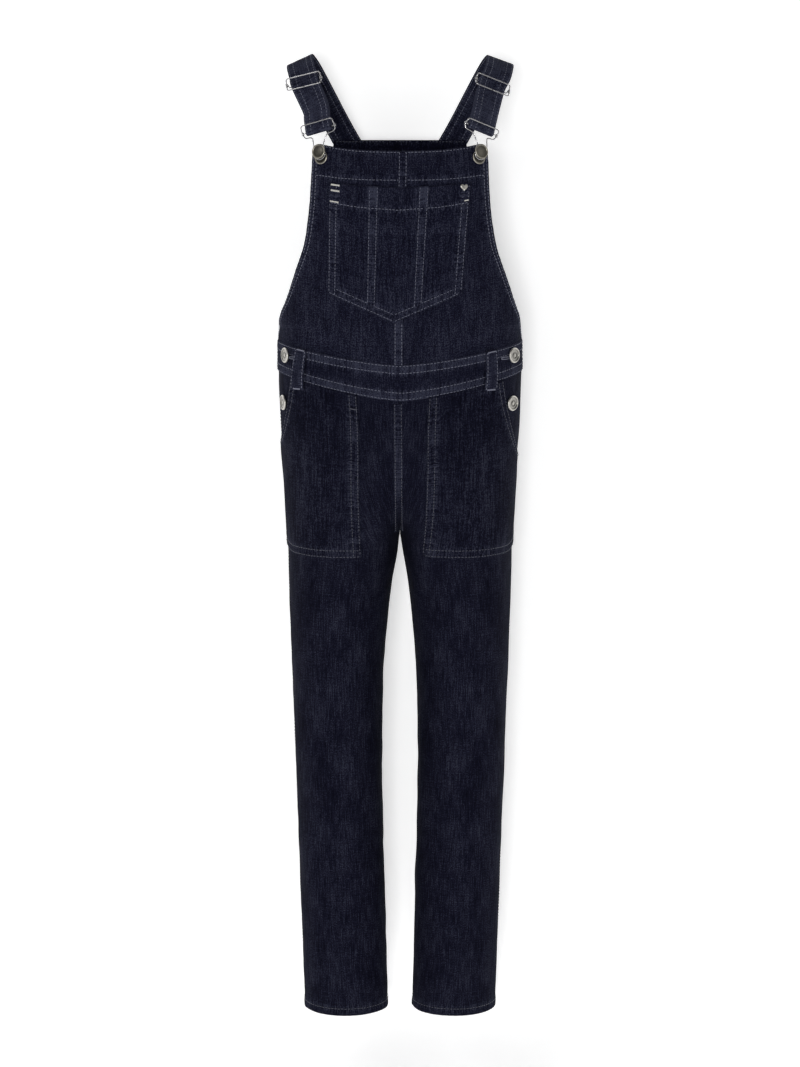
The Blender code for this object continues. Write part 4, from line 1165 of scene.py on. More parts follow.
class OVERALLS_OT_bib(bpy.types.Operator):
    """Make the bib's two halves, their facing and armhole stitching, and the seam between them."""
    bl_idname = "overalls.bib"
    bl_label = "Bib"

    def execute(self, context):
        denim, thread = material_for("flecked_denim"), material_for("thread")
        parts = []

        def relief(u, v, base):
            edge = 0.35 * ease((u - 0.905) / 0.02) + 0.35 * (1 - ease((v - BIB_FACING) / 0.012))
            return np.minimum(edge, 0.4)

        columns, rows = steps(118.0, 2.2, 6.0, 14.0), steps(206.0, 2.1, 34.0, 6.0, 1.5)
        for number, side in enumerate(SIDES):
            place = bib_place(side)
            lines = rows_along(place, ("top",), (EDGE_ROW,), 0.0, 0.985)
            lines.append(polyline(place, [(0.0, BIB_FACING), (0.94, BIB_FACING + 0.02)]))
            lines += rows_along(place, ("end",), ARMHOLE_ROWS, 0.012, 0.995)
            cloth_piece(f"cloth_bib_{side.name}", place, columns, rows, denim, "hung", ["waistband_front"],
                        lines=lines, relief=relief, creases=(side.sign, FRONT), facing=0.15,
                        seed=31 + number, grain=0.0)
            parts.append(stitched(lines, 33 + number, THICK_ROW))

        def seam_place(u, v):
            height = blend(BIB_TOP - 1.3, -317.0, v)
            return place_at(blend(-1.8, -6.4, ease(v * 1.15)) + 9.4 * u, height)

        shown = []
        for points, normals in felled_seam("seam_bib", seam_place, 9.4, 222.0, denim,
                                           ["bib_left", "bib_right"], seed=37, shade=0.15):
            # The pocket hides the middle of both rows
            for keep in (points[:, 2] > BIB_POCKET_TOP - 6, points[:, 2] < BIB_POCKET_TIP):
                shown.append((points[keep], normals[keep]))
        parts.append(stitched(shown, 39, context.scene.overalls_sizes.seam_height))
        thread_piece("thread_bib", parts, thread)
        return {"FINISHED"}


class OVERALLS_OT_back_bib(bpy.types.Operator):
    """Make the back bib with its stitched edges."""
    bl_idname = "overalls.back_bib"
    bl_label = "Back bib"

    def execute(self, context):
        denim, thread = material_for("flecked_denim"), material_for("dull_thread")
        place = back_bib_place
        lines = rows_along(place, ("top",), (EDGE_ROW,), 0.01, 0.99)
        lines += rows_along(place, ("top",), (22.0,), 0.03, 0.97)
        lines += rows_along(place, ("start", "end"), ARMHOLE_ROWS, 0.01, 0.99)
        columns, rows = steps(262.0, 2.6, 14.0, 14.0), steps(212.0, 2.4, 8.0, 4.0)
        # Its inside face is painted darker, as the shadow inside the bib
        cloth_piece("cloth_back_bib", place, columns, rows, denim, "hung", ["strap_left", "strap_right"],
                    lines=lines, creases=(None, BACK), facing=0.3, seed=41, inside_shade=-0.42)
        inside = [raised(line, -DENIM - 0.05) for line in lines[:2]]
        seams = [raised(line, 0.03) for line in lines] + [(points, -normals) for points, normals in inside]
        thread_piece("thread_back_bib", [stitched(seams, 43)], thread)
        return {"FINISHED"}


class OVERALLS_OT_waistbands(bpy.types.Operator):
    """Make the folded waistband with two rows of stitches along each edge."""
    bl_idname = "overalls.waistbands"
    bl_label = "Waistbands"

    def execute(self, context):
        denim, thread = material_for("flecked_denim"), material_for("thread")
        parts = []

        def folded_edge(near):
            """The folded edges are four layers thick between their two rows."""
            return 1 - ease((near - 8.0) / 2.5)

        def relief(u, v, base):
            near = np.minimum(v, 1 - v) * BAND_DEPTH
            return 0.45 * folded_edge(near) * ease(near / 1.2)

        # The bands between each edge's two rows are painted lighter as highlight, the middle a little darker
        # as shadow
        def painted_band_light(u, v, base):
            return 0.42 * folded_edge(np.minimum(v, 1 - v) * BAND_DEPTH) - 0.06

        for number, (word, face, top_dip, bottom_dip) in enumerate((
                ("front", FRONT, FRONT_TOP_DIP, FRONT_BOTTOM_DIP),
                ("back", BACK, BACK_TOP_DIP, BACK_BOTTOM_DIP))):
            place = waistband_place(face, top_dip, bottom_dip)
            lines = rows_along(place, ("top", "foot"), (EDGE_ROW, SECOND_ROW + 0.6), 0.005, 0.995)
            lines += rows_along(place, ("start", "end"), (4.0,), 0.04, 0.96)
            cloth_piece(f"cloth_waistband_{word}", place, steps(392.0, 2.0), steps(36.0, 1.2), denim,
                        "folded", ["button_stand_left", "button_stand_right"], thickness=BAND_CLOTH,
                        lift=BAND_PROUD, lines=lines, relief=relief, facing=NEVER, seed=51 + number,
                        draw=0.4, swell=0.3, pace=6.5, turn_edge=0.6, shade=painted_band_light)
            parts.append(stitched(lines, 53 + number, BAND_PROUD + THICK_ROW))
        thread_piece("thread_waistbands", parts, thread)
        return {"FINISHED"}


class OVERALLS_OT_bib_pocket(bpy.types.Operator):
    """Make the pointed bib pocket's three panels, their felled seams, hem and bar tacks."""
    bl_idname = "overalls.bib_pocket"
    bl_label = "Bib pocket"

    def execute(self, context):
        denim, thread = material_for("flecked_denim"), material_for("thread")
        whole = bib_pocket_place(0, 3)
        top_lift = LAY_GAP + DENIM
        hem_share = BIB_POCKET_HEM / (BIB_POCKET_TOP - BIB_POCKET_CORNER)
        tip = (POCKET_TIP_X - POCKET_FEET[0]) / (POCKET_FEET[3] - POCKET_FEET[0])
        hem = polyline(whole, [(0.012, hem_share), (0.2, hem_share), (0.4, hem_share * 0.94),
                               (0.6, hem_share * 0.94), (0.8, hem_share), (0.988, hem_share)])
        edges = rows_along(whole, ("start", "end"), (EDGE_ROW, SECOND_ROW), 0.02, 0.99)
        for row, trim in ((EDGE_ROW, 0.012), (SECOND_ROW, 0.06)):
            for start, end in ((trim, tip), (tip, 1 - trim)):
                edges += rows_along(whole, ("foot",), (row,), start, end)

        def relief(u, v, base):
            drop = v * (BIB_POCKET_TOP - pocket_foot_height(base[..., 0])) - BIB_POCKET_HEM
            return 0.55 * (1 - ease((drop + 0.4) / 1.6))

        for index, word in enumerate(("right", "middle", "left")):
            place = bib_pocket_place(index, index + 1, SEAM_GAP / 2 * (index > 0), SEAM_GAP / 2 * (index < 2))
            cloth_piece(f"cloth_bib_pocket_{word}", place, steps(50.0, 1.7), steps(140.0, 1.7, 26.0, 6.0),
                        denim, "laid", ["bib_left", "bib_right"], lift=top_lift, lines=[hem, *edges],
                        relief=relief, facing=NEVER, seed=61 + index, draw=0.3, swell=0.18)
        parts = [stitched([hem], 63, top_lift + 0.55), stitched(edges, 64, top_lift + 0.05, 0.8)]

        seam_height = context.scene.overalls_sizes.seam_height

        def seam_relief(u, v, base):
            return 0.5 * (1 - ease((v * 125 - BIB_POCKET_HEM) / 1.6))

        # The seam's strip over the pocket's hem is painted lighter, as highlight on the raised layers
        def painted_hem_highlight(u, v, base):
            return 0.14 + 1.1 * seam_relief(u, v, base)

        for index in (1, 2):
            def seam_place(u, v):
                top_x = POCKET_TOPS[index] + 10.4 * (u - 0.5)
                foot_x = POCKET_FEET[index] + 8.8 * (u - 0.5)
                bow = 1 - (top_x / BIB_POCKET_HALF_TOP) ** 2
                top = BIB_POCKET_TOP + BIB_POCKET_TOP_DIP * bow + 0.4
                return place_at(blend(top_x, foot_x, v), blend(top, pocket_foot_height(foot_x) + 8.0, v))

            rows = felled_seam(f"seam_bib_pocket_{index}", seam_place, SEAM_WIDTH, 130.0, denim,
                               ["bib_pocket_middle"], 1.1, top_lift, thickness=seam_height + 0.3,
                               relief=seam_relief, facing=NEVER, seed=65 + index, draw=0.3, swell=0.22,
                               pace=5.0, shade=painted_hem_highlight)
            parts.append(stitched(rows, 67 + index, top_lift + seam_height + 0.1, 0.75))
        thread_piece("thread_bib_pocket", parts, thread)
        # Bar tacks: share across and down, lift, length, width and thread radius
        tacks = [tack_at(whole, u, v, top_lift + lift, length, width, radius)
                 for u, v, lift, length, width, radius in (
                     (0.047, 0.016, 0.75, 9.0, 1.9, 0.36), (0.047, 0.066, 0.75, 9.0, 1.9, 0.36),
                     (0.042, 0.163, 0.75, 9.0, 1.9, 0.36), (0.975, 0.155, 0.6, 4.0, 1.5, 0.32))]
        thread_piece("tacks_bib_pocket", tacks, material_for("tack_thread"))
        return {"FINISHED"}


class OVERALLS_OT_hip_pockets(bpy.types.Operator):
    """Make the two hip pockets with their slanted mouths and double stitching."""
    bl_idname = "overalls.hip_pockets"
    bl_label = "Hip pockets"

    def execute(self, context):
        denim, thread = material_for("raw_denim"), material_for("dull_thread")
        lift = SEAM_GAP + DENIM
        columns, rows = steps(120.0, 2.2, 10.0, 12.0, 1.4), steps(194.0, 2.2, 4.0, 12.0, 1.4)
        parts, tacks = [], []
        for number, side in enumerate(SIDES):
            place = hip_pocket_place(side)
            mouth_end = (side.mouth_foot - BAND_BOTTOM) / (HIP_POCKET_FOOT - BAND_BOTTOM)
            lines = rows_along(place, ("end",), (EDGE_ROW - 0.3, SECOND_ROW), 0.005, 0.99)
            lines += rows_along(place, ("start",), (EDGE_ROW, SECOND_ROW - 1.0), 0.01, mouth_end)
            lines += rows_along(place, ("foot",), (EDGE_ROW - 0.3, SECOND_ROW), 0.01, 0.985)
            cloth_piece(f"cloth_hip_pocket_{side.name}", place, columns, rows, denim, "laid",
                        [f"front_leg_{side.name}"], lift=lift, lines=lines, creases=(side.sign, FRONT),
                        facing=NEVER, seed=71 + number, draw=0.32, swell=0.2, grain=1.0)
            parts.append(stitched(lines, 73 + number, lift + 0.05))
            if side.sign < 0:
                tacks.append(tack_at(place, 0.955, 0.095, lift + 0.15, 7.5, 1.2, 0.25))
        thread_piece("thread_hip_pockets", parts + tacks, thread)
        return {"FINISHED"}


class OVERALLS_OT_belt_loops(bpy.types.Operator):
    """Make the two belt loops and the bar tacks that hold them."""
    bl_idname = "overalls.belt_loops"
    bl_label = "Belt loops"

    def execute(self, context):
        denim, thread = material_for("flecked_denim"), material_for("thread")
        parts = []
        for number, side in enumerate(SIDES):
            place = loop_place(side)
            lines = rows_along(place, ("start", "end"), (1.5,), 0.02, 0.98)
            cloth_piece(f"cloth_belt_loop_{side.name}", place, steps(10.0, 1.1), steps(48.0, 1.3), denim,
                        "folded", ["waistband_front"], FOLDED_WIDTH, thickness=LOOP_CLOTH, lift=LOOP_CLOTH,
                        lines=lines, facing=NEVER, seed=81 + number, draw=0.3, swell=0.2, pace=5.0,
                        turn_edge=0.5, shade=0.2)
            parts.append(stitched(lines, 83 + number, LOOP_CLOTH + 0.02))
            for v in (0.035, 0.965):
                parts.append(tack_at(place, 0.5, v, LOOP_CLOTH + 0.12, 9.6, 1.7, 0.32))
        thread_piece("thread_belt_loops", parts, thread)
        return {"FINISHED"}


class OVERALLS_OT_button_stands(bpy.types.Operator):
    """Make the under-laps that carry the side buttons, and the buttonholes' stitching."""
    bl_idname = "overalls.button_stands"
    bl_label = "Button stands"

    def execute(self, context):
        denim, thread = material_for("raw_denim"), material_for("thread")
        under = BAND_PROUD - BAND_CLOTH - 2 * LAY_GAP
        holes = []
        for number, side in enumerate(SIDES):
            cloth_piece(f"cloth_button_stand_{side.name}", stand_place(side), steps(56.0, 2.6),
                        steps(142.0, 2.6), denim, "laid", ["waistband_back"], lift=under, facing=NEVER,
                        seed=91 + number, draw=0.0, swell=0.0)
            for x, height, lift in ((side.band_button_x, BAND_BUTTON_HEIGHT, BAND_PROUD + 0.15),
                                    (side.leg_button_x, LEG_BUTTON_HEIGHT, 0.1)):
                points, normals = place_at(side.sign * (x - HOLE_SHIFT), np.asarray(height - HOLE_DROP))
                ahead = unit(np.cross(normals, np.array([0.0, 0.0, 1.0])))
                holes.append(buttonhole(points + normals * lift, normals, ahead, HOLE_LENGTH, 3.4, 0.28))
        thread_piece("thread_buttonholes", holes, thread)
        return {"FINISHED"}


# Straps and metal


def rounded(knots, count):
    """Points on a smooth open curve through a few knots."""
    result = []
    for index in range(len(knots) - 1):
        before = knots[max(index - 1, 0)]
        start, end = knots[index], knots[index + 1]
        after = knots[min(index + 2, len(knots) - 1)]
        for step in range(count):
            t = step / count
            result.append(0.5 * (2 * start + (end - before) * t
                                 + (2 * before - 5 * start + 4 * end - after) * t ** 2
                                 + (3 * start - before - 3 * end + after) * t ** 3))
    result.append(knots[-1])
    return result


def clip_frame(side):
    """The clip's bar, its direction across and down, and the bib button's seat, outward and up."""
    seat, outward = seat_at(side.sign * BIB_BUTTON_X, BIB_BUTTON_HEIGHT)
    up = (Vector((0, 0, 1)) - outward * outward.z).normalized()
    neck = seat + outward * NECK_MIDDLE + up * BIB_BUTTON_LEAN * 0.5
    sideways = up.cross(outward) * side.sign
    tilt = math.radians(side.strap_tilt + CLIP_LEAN)
    down = -(up * math.cos(tilt) + sideways * math.sin(tilt))
    across = sideways * math.cos(tilt) - up * math.sin(tilt)
    bar = neck - down * CLIP_LENGTH - across * side.neck_skew
    return bar, across, down, seat, outward, up


def strap_stations(side):
    """The strap from its seat on the back, over the shoulder, round the clip's bar and back up."""
    bar, across, down, _, face, _ = clip_frame(side)
    at_slider = Route(side.slider_x, SLIDER_Y, side.slider_z, side.strap_tilt - side.shoulder_drop,
                      SLIDER_TURN)
    knots, turns = [], []
    for row in STRAP_ROUTE + [at_slider]:
        knots.append(Vector((side.sign * row.x, row.y, row.z)))
        drop = math.radians(row.drop + side.shoulder_drop)
        turn = math.radians(row.turn)
        turns.append(Vector((side.sign * math.cos(drop) * math.cos(turn), math.sin(turn),
                             -math.sin(drop) * math.cos(turn))))
    for step in CLIP_RUN:
        knots.append(bar + face * BAR_DROP - down * step)
        turns.append(across)
    middles = rounded(knots, CURVE_STEPS)
    widths = rounded(turns, CURVE_STEPS)
    front = []
    for index, point in enumerate(middles):
        ahead = middles[min(index + 1, len(middles) - 1)] - middles[max(index - 1, 0)]
        ahead.normalize()
        width = (widths[index] - ahead * widths[index].dot(ahead)).normalized()
        outward = ahead.cross(width) * side.sign
        front.append((point, width, outward))
    fold = []
    for step in range(1, FOLD_STEPS):
        turn = math.pi * step / FOLD_STEPS
        outward = face * math.cos(turn) + down * math.sin(turn)
        fold.append((bar + outward * BAR_DROP, across, outward))
    slider = SLIDER_KNOT * CURVE_STEPS
    behind = []
    for index in range(len(front) - 1, slider + 2, -1):
        point, width, outward = front[index]
        share = (len(front) - 1 - index) / (len(front) - 1 - slider)
        apart = blend(2 * BAR_DROP, STRAP_CLOTH + FOLDED_GAP, float(ease(share * 2.5)))
        behind.append((point - outward * apart, width, -outward))
    return front, fold, behind


class OVERALLS_OT_straps(bpy.types.Operator):
    """Make the two folded shoulder straps with their rows of stitches."""
    bl_idname = "overalls.straps"
    bl_label = "Straps"

    def execute(self, context):
        denim, thread = material_for("flecked_denim"), material_for("thread")
        half = STRAP_WIDTH / 2
        face = np.concatenate([[-half + 0.15], np.linspace(-half + 0.8, half - 0.8, 25), [half - 0.15]])
        # Half thickness at each place across: rounded edges, drawn in along four rows of stitches
        rows_at = (-half + EDGE_ROW, -half + STRAP_ROW, half - STRAP_ROW, half - EDGE_ROW)
        thick = np.where(np.abs(face) > half - 0.5, 0.55, STRAP_CLOTH / 2 - 0.12)
        for row in rows_at:
            thick = thick - 0.22 * np.exp(-((face - row) / 0.9) ** 2)
        swell = sum(np.exp(-((face - row) / 2.6) ** 2) for row in rows_at)
        parts = []
        for number, side in enumerate(SIDES):
            front, fold, behind = strap_stations(side)
            stations = front + fold + behind
            middles, across, outward = (np.array(part) for part in zip(*stations))
            gone = along(middles)
            wave = 0.11 * np.sin(gone * 0.95 + number) + 0.07 * np.sin(gone * 0.37 + 2 * number)
            bow = thick[None] + wave[:, None] * swell[None]
            flat = middles[:, None] + across[:, None] * face[None, :, None]
            out = outward[:, None] * bow[..., None]
            edges = [(middles + across * reach)[:, None] for reach in (-half, half)]
            ring = np.concatenate([edges[0], flat + out, edges[1], (flat - out)[:, ::-1]], axis=1)
            count = ring.shape[1]
            index = np.arange(len(stations) * count).reshape(len(stations), count)
            a, b = index[:-1], np.roll(index[:-1], -1, axis=1)
            c, d = np.roll(index[1:], -1, axis=1), index[1:]
            faces = np.stack([a.ravel(), d.ravel(), c.ravel(), b.ravel()], axis=1).tolist()
            faces += [index[0].tolist(), index[-1][::-1].tolist()]
            if side.sign < 0:
                faces = [face_loop[::-1] for face_loop in faces]
            spots = np.concatenate([[-half], face, [half], face[::-1]])
            # The strap's front run is painted lighter, with painted highlights along its edges, and its back
            # run painted darker, as shadow
            shown = ease((middles[:, 1:2] * -1 + 10.0) / 30.0)
            painted_light_share = (0.42 + 0.55 * (np.abs(spots) > half - 0.9))[None] * shown - 0.12 * (1 - shown)
            nearest = np.min([np.abs(spots - row) for row in rows_at], axis=0)
            seam = np.stack(np.broadcast_arrays(gone[:, None] * MM, nearest[None] * MM,
                                                np.exp(-((nearest / 4.0) ** 2))[None]), axis=2)
            cloth = np.stack(np.broadcast_arrays(spots[None], gone[:, None], 900.0 + 80 * number), axis=2)
            piece = make_object(f"cloth_strap_{side.name}", ring.reshape(-1, 3), faces, denim,
                                [f"strap_{side.name}"],
                                [("cloth", "FLOAT_VECTOR", cloth.reshape(-1, 3) * MM),
                                 ("reverse", "FLOAT", np.zeros(ring.shape[0] * count)),
                                 ("wear", "FLOAT", painted_light_share), ("seam", "FLOAT_VECTOR", seam.reshape(-1, 3))])
            width, length = STRAP_WIDTH * MM, gone[-1] * MM
            declare(width, length, "hung", ["back_bib", f"clip_bar_{side.name}"])
            lines = []
            for row in rows_at:
                for way in (1, -1):
                    level = np.interp(row, face, thick) * way
                    lines.append((middles + across * row + outward * level, outward * way))
            parts.append(stitched([even(line) for line in lines], 101 + number, slim=0.7))
            # Bar tacks where the strap is sewn to the back bib and where its layers meet
            for step in (4, 34):
                foot, width, out = (np.array(part) for part in stations[step])
                for row in (-6.5, 6.5):
                    centre = foot + out * (STRAP_CLOTH / 2 + 0.1) + width * row
                    parts.append(bar_tack(centre, out, width, 9.0, 1.7, 0.32))
        thread_piece("thread_straps", parts, thread)
        return {"FINISHED"}


def wire_piece(name, knots, material, nodes=(), count=5, radius=WIRE_SHOWN, closed=False):
    """A drawn wire bent through knots, with softly rounded corners."""
    points = rounded(knots, count)
    if closed:
        points = points[:-1]
    curve = bpy.data.curves.new(name, "CURVE")
    curve.dimensions = "3D"
    curve.bevel_depth = radius * MM
    curve.bevel_resolution = 4
    curve.use_fill_caps = True
    spline = curve.splines.new("POLY")
    spline.points.add(len(points) - 1)
    for knot, point in zip(spline.points, points):
        knot.co = (*(point * MM), 1)
    spline.use_cyclic_u = closed
    spline.use_smooth = True
    curve.materials.append(material)
    join_part(bpy.data.objects.new(name, curve), nodes)


def curled_ends(word, side, at, reach, start, level, metal):
    """A bar's two ends, each curled round the frame that it hangs in."""
    for way, end in ((1, "outer"), (-1, "inner")):
        rings = []
        for step in range(2 * CURL_STEPS + 1):
            turn = 2 * math.pi * step / CURL_STEPS
            rings.append(at(way * reach + CURL * math.cos(turn), start + (step - CURL_STEPS) * 0.2,
                            level + CURL * math.sin(turn)))
        wire_piece(f"wire_{word}_curl_{side.name}_{end}", rings, metal, radius=CURL_WIRE, count=3)


def turned_piece(name, profile, centre, axis, slot, nodes, dark, lean=Vector(), sides=56):
    """A pressed or turned metal piece from a profile of radius, height and lean.

    dark gives radius and darkness pairs for the front of the face. Its neck behind is painted dark, as the
    shadow under the face.
    """
    outward = axis.normalized()
    across = outward.cross(Vector((0, 0, 1))).normalized()
    up = across.cross(outward)
    vertices = []
    for radius, height, shift in profile:
        middle = centre + outward * height + lean * shift
        for index in range(sides):
            turn = 2 * math.pi * index / sides
            vertices.append(middle + (across * math.cos(turn) + up * math.sin(turn)) * radius)
    faces = loft_faces(len(profile), sides)
    radii = np.repeat([row[0] for row in profile], sides)
    face_start = max(range(len(profile)), key=lambda level: profile[level][0]) * sides
    # The neck and the flange under the face are painted dark, as shadow
    neck = np.clip((6.6 - radii) / 0.9, 0, 1) * (np.arange(len(radii)) < face_start)
    patina = np.where(np.arange(len(radii)) >= face_start, np.interp(radii, *zip(*dark)), neck)
    piece = make_object(name, [tuple(vertex) for vertex in vertices], faces, material_for(slot), nodes,
                        [("patina", "FLOAT", patina)])
    piece.data.set_sharp_from_angle(angle=math.radians(50))


class OVERALLS_OT_sliders(bpy.types.Operator):
    """Make the wire slider on each strap, with its bar and the bar's curled ends."""
    bl_idname = "overalls.sliders"
    bl_label = "Sliders"

    def execute(self, context):
        metal = material_for("nickel_wire")
        for side in SIDES:
            front, _, _ = strap_stations(side)
            slider = SLIDER_KNOT * CURVE_STEPS
            middle, width, outward = front[slider]
            twist = Matrix.Rotation(math.radians(side.slider_twist * side.sign), 3, outward)
            across = twist @ width
            down = twist @ (front[slider + 6][0] - middle).normalized()
            a, b = SLIDER_HALF_WIDTH, SLIDER_HALF_HEIGHT

            def at(x, y, z):
                return middle + across * x + down * y + outward * z

            level = BAR_DROP + 3 * LAY_GAP
            # A quarter of the frame: across, down the strap, and out from it
            quarter = [(0.45, b, level), (a - 4.0, b, level), (a - 2.0, b, level), (a - 0.5, b - 0.7, level),
                       (a, b - 2.4, level * 0.9), (a + 0.2, b * 0.4, level * 0.6)]
            frame_wire = []
            for turn, (way_x, way_y) in enumerate(((1, 1), (1, -1), (-1, -1), (-1, 1))):
                corner = [at(way_x * x, way_y * y, z) for x, y, z in quarter]
                frame_wire += corner if turn % 2 == 0 else corner[:0:-1]
            frame_wire.append(at(-0.45, b, level))
            wire_piece(f"wire_slider_frame_{side.name}", frame_wire, metal, [f"slider_frame_{side.name}"])
            reach = a + 0.2 - 2 * WIRE_SHOWN
            half = [(reach, level * 0.5), (reach, -level * 0.5), (reach - 1.6, -level)]
            bar = [at(-x, 0, z) for x, z in half] + [at(0, 0, -level)]
            bar += [at(x, 0, z) for x, z in reversed(half)]
            wire_piece(f"wire_slider_bar_{side.name}", bar, metal, [f"slider_bar_{side.name}"])
            curled_ends("slider", side, at, a + 0.2, 0.0, level * 0.55, metal)
        return {"FINISHED"}


class OVERALLS_OT_clips(bpy.types.Operator):
    """Make the wire clip on each strap, the bar that the strap folds round, and its curled ends."""
    bl_idname = "overalls.clips"
    bl_label = "Clips"

    def execute(self, context):
        metal = material_for("nickel_wire")
        for side in SIDES:
            bar, across, down, _, outward, _ = clip_frame(side)

            def at(x, y, z):
                skew = side.neck_skew * float(ease((y - NECK_START) / (NECK_END - NECK_START)))
                return bar + across * (x + skew) + down * y + outward * z

            top = 2 * BAR_DROP
            eye_middle = CLIP_LENGTH - EYE_SHIFT
            crown = -side.clip_crown
            # Half the frame from its crown to its eye: across, down from the bar, and out from it
            half = [(0, crown, top), (14.5, crown, top), (16.8, crown + 0.1, top),
                    (18.7, crown + 1.0, top - 0.6), (19.4, crown * 0.5, 3.4), (19.5, -0.4, 1.2),
                    (18.8, 3.0, 0), (16.5, 5.4, 0), (11.5, 6.0, 0), (8.8, 7.4, 0), (7.7, 10.0, 0),
                    (6.6, 13.5, 0), (5.9, 16.4, 0), (6.0, 18.6, 0)]
            for step in range(2, 7):
                turn = math.radians(30 * step)
                half.append((CLIP_EYE * math.sin(turn), eye_middle - CLIP_EYE * math.cos(turn), 0))
            loop = [at(*knot) for knot in half] + [at(-x, y, z) for x, y, z in reversed(half[1:-1])]
            wire_piece(f"wire_clip_frame_{side.name}", loop + [loop[0]], metal, [f"clip_frame_{side.name}"],
                       closed=True)
            reach = 19.2 - 2 * WIRE - WIRE_GAP
            wire_piece(f"wire_clip_bar_{side.name}", [at(-reach, 0, 0), at(0, 0, 0), at(reach, 0, 0)], metal,
                       [f"clip_bar_{side.name}"])
            curled_ends("clip", side, at, 19.4, 0.2, 0.8, metal)
        return {"FINISHED"}


class OVERALLS_OT_bib_buttons(bpy.types.Operator):
    """Make the bib buttons: a flange on the bib, a leaning neck and a dished cap."""
    bl_idname = "overalls.bib_buttons"
    bl_label = "Bib buttons"

    def execute(self, context):
        for side in SIDES:
            _, _, _, seat, outward, up = clip_frame(side)
            profile = [(6.9, 0.3, 0), (7.3, 0.45, 0), (7.45, 0.75, 0), (7.3, 1.05, 0), (6.7, 1.3, 0),
                       (5.4, 1.2, 0), (3.4, 1.35, 0.15), (2.7, 1.9, 0.35), (2.6, 2.4, 0.45), (2.6, 4.9, 0.6),
                       (2.8, 5.5, 0.8), (4.0, 5.8, 0.95), (7.0, 5.9, 1), (7.6, 6.1, 1), (7.85, 6.5, 1),
                       (7.8, 7.0, 1), (7.5, 7.45, 1), (7.0, 7.65, 1), (6.5, 7.6, 1), (6.2, 7.3, 1),
                       (5.9, 7.15, 1), (5.2, 7.25, 1), (3.6, 7.5, 1), (1.8, 7.65, 1), (0.4, 7.7, 1)]
            turned_piece(f"bib_button_cap_{side.name}", profile, seat, outward, "antique_nickel",
                         [f"bib_button_{side.name}"],
                         ((0, 0.5), (4.5, 0.62), (5.9, 0.85), (6.4, 0.4), (6.8, 0)), up * BIB_BUTTON_LEAN)
        return {"FINISHED"}


class OVERALLS_OT_side_buttons(bpy.types.Operator):
    """Make the four side buttons: shanked discs with a raised rim and a plain dished face."""
    bl_idname = "overalls.side_buttons"
    bl_label = "Side buttons"

    def execute(self, context):
        places = (("band", "band_button_x", BAND_BUTTON_HEIGHT, BAND_PROUD),
                  ("leg", "leg_button_x", LEG_BUTTON_HEIGHT + 1.5, 0.0))
        rim = SHANK_LENGTH
        profile = [(SHANK_RADIUS, 0, 0), (SHANK_RADIUS, rim, 0), (7.3, rim, 0), (7.8, rim + 0.2, 0),
                   (8.1, rim + 0.6, 0), (BUTTON_RADIUS, rim + 1.1, 0), (8.1, rim + 1.6, 0),
                   (7.8, rim + 2.05, 0), (7.3, rim + 2.3, 0), (6.8, rim + 2.3, 0), (6.4, rim + 2.05, 0),
                   (6.2, rim + 1.55, 0), (5.9, rim + 1.35, 0), (4.6, rim + 1.45, 0), (3.4, rim + 1.5, 0),
                   (3.1, rim + 1.2, 0), (2.8, rim + 1.15, 0), (2.4, rim + 1.5, 0), (1.5, rim + 1.7, 0),
                   (0.4, rim + 1.75, 0)]
        for side in SIDES:
            for word, column, height, face_lift in places:
                point, outward = seat_at(side.sign * getattr(side, column), height)
                seat = point + outward * (face_lift + SEAM_GAP)
                turn = Matrix.Rotation(math.radians(-side.button_turn * side.sign), 3, "Z")
                turned_piece(f"side_button_disc_{word}_{side.name}", profile, seat, turn @ outward,
                             "silver_plate", [f"side_button_{word}_{side.name}"],
                             ((0, 0.1), (1.5, 0.2), (2.6, 0.9), (3.4, 0.8), (4.2, 0.3), (5.6, 0.4),
                              (6.2, 0.85), (6.6, 0.4), (7.0, 0)))
        return {"FINISHED"}


class OVERALLS_OT_heart_stud(bpy.types.Operator):
    """Make the small plain heart stud on the corner of the bib pocket."""
    bl_idname = "overalls.heart_stud"
    bl_label = "Heart stud"

    def execute(self, context):
        x, height, size, depth = 66.5, -130.5, 4.1, 1.2
        point, outward = seat_at(x, height)
        seat = point + outward * (LAY_GAP + DENIM + SEAM_GAP)
        across = Vector((0, 0, 1)).cross(outward).normalized()
        up = outward.cross(across)
        count = 64
        outline = []
        for index in range(count):
            turn = 2 * math.pi * (index + 0.5) / count
            tall = (13 * math.cos(turn) - 5 * math.cos(2 * turn) - 2 * math.cos(3 * turn)
                    - math.cos(4 * turn)) / 16
            outline.append(across * math.sin(turn) ** 3 * size + up * tall * size)
        levels = ((0.96, 0.0), (1.0, 0.25), (0.99, 0.6), (0.93, 0.85), (0.8, 1.03), (0.55, 1.14),
                  (0.25, depth), (0.04, depth + 0.01))
        vertices = [tuple(seat + spot * share + outward * rise) for share, rise in levels for spot in outline]
        faces = loft_faces(len(levels), count)
        make_object("heart_stud_cap", vertices, faces, material_for("silver_plate"),
                    ["heart_stud"])
        return {"FINISHED"}


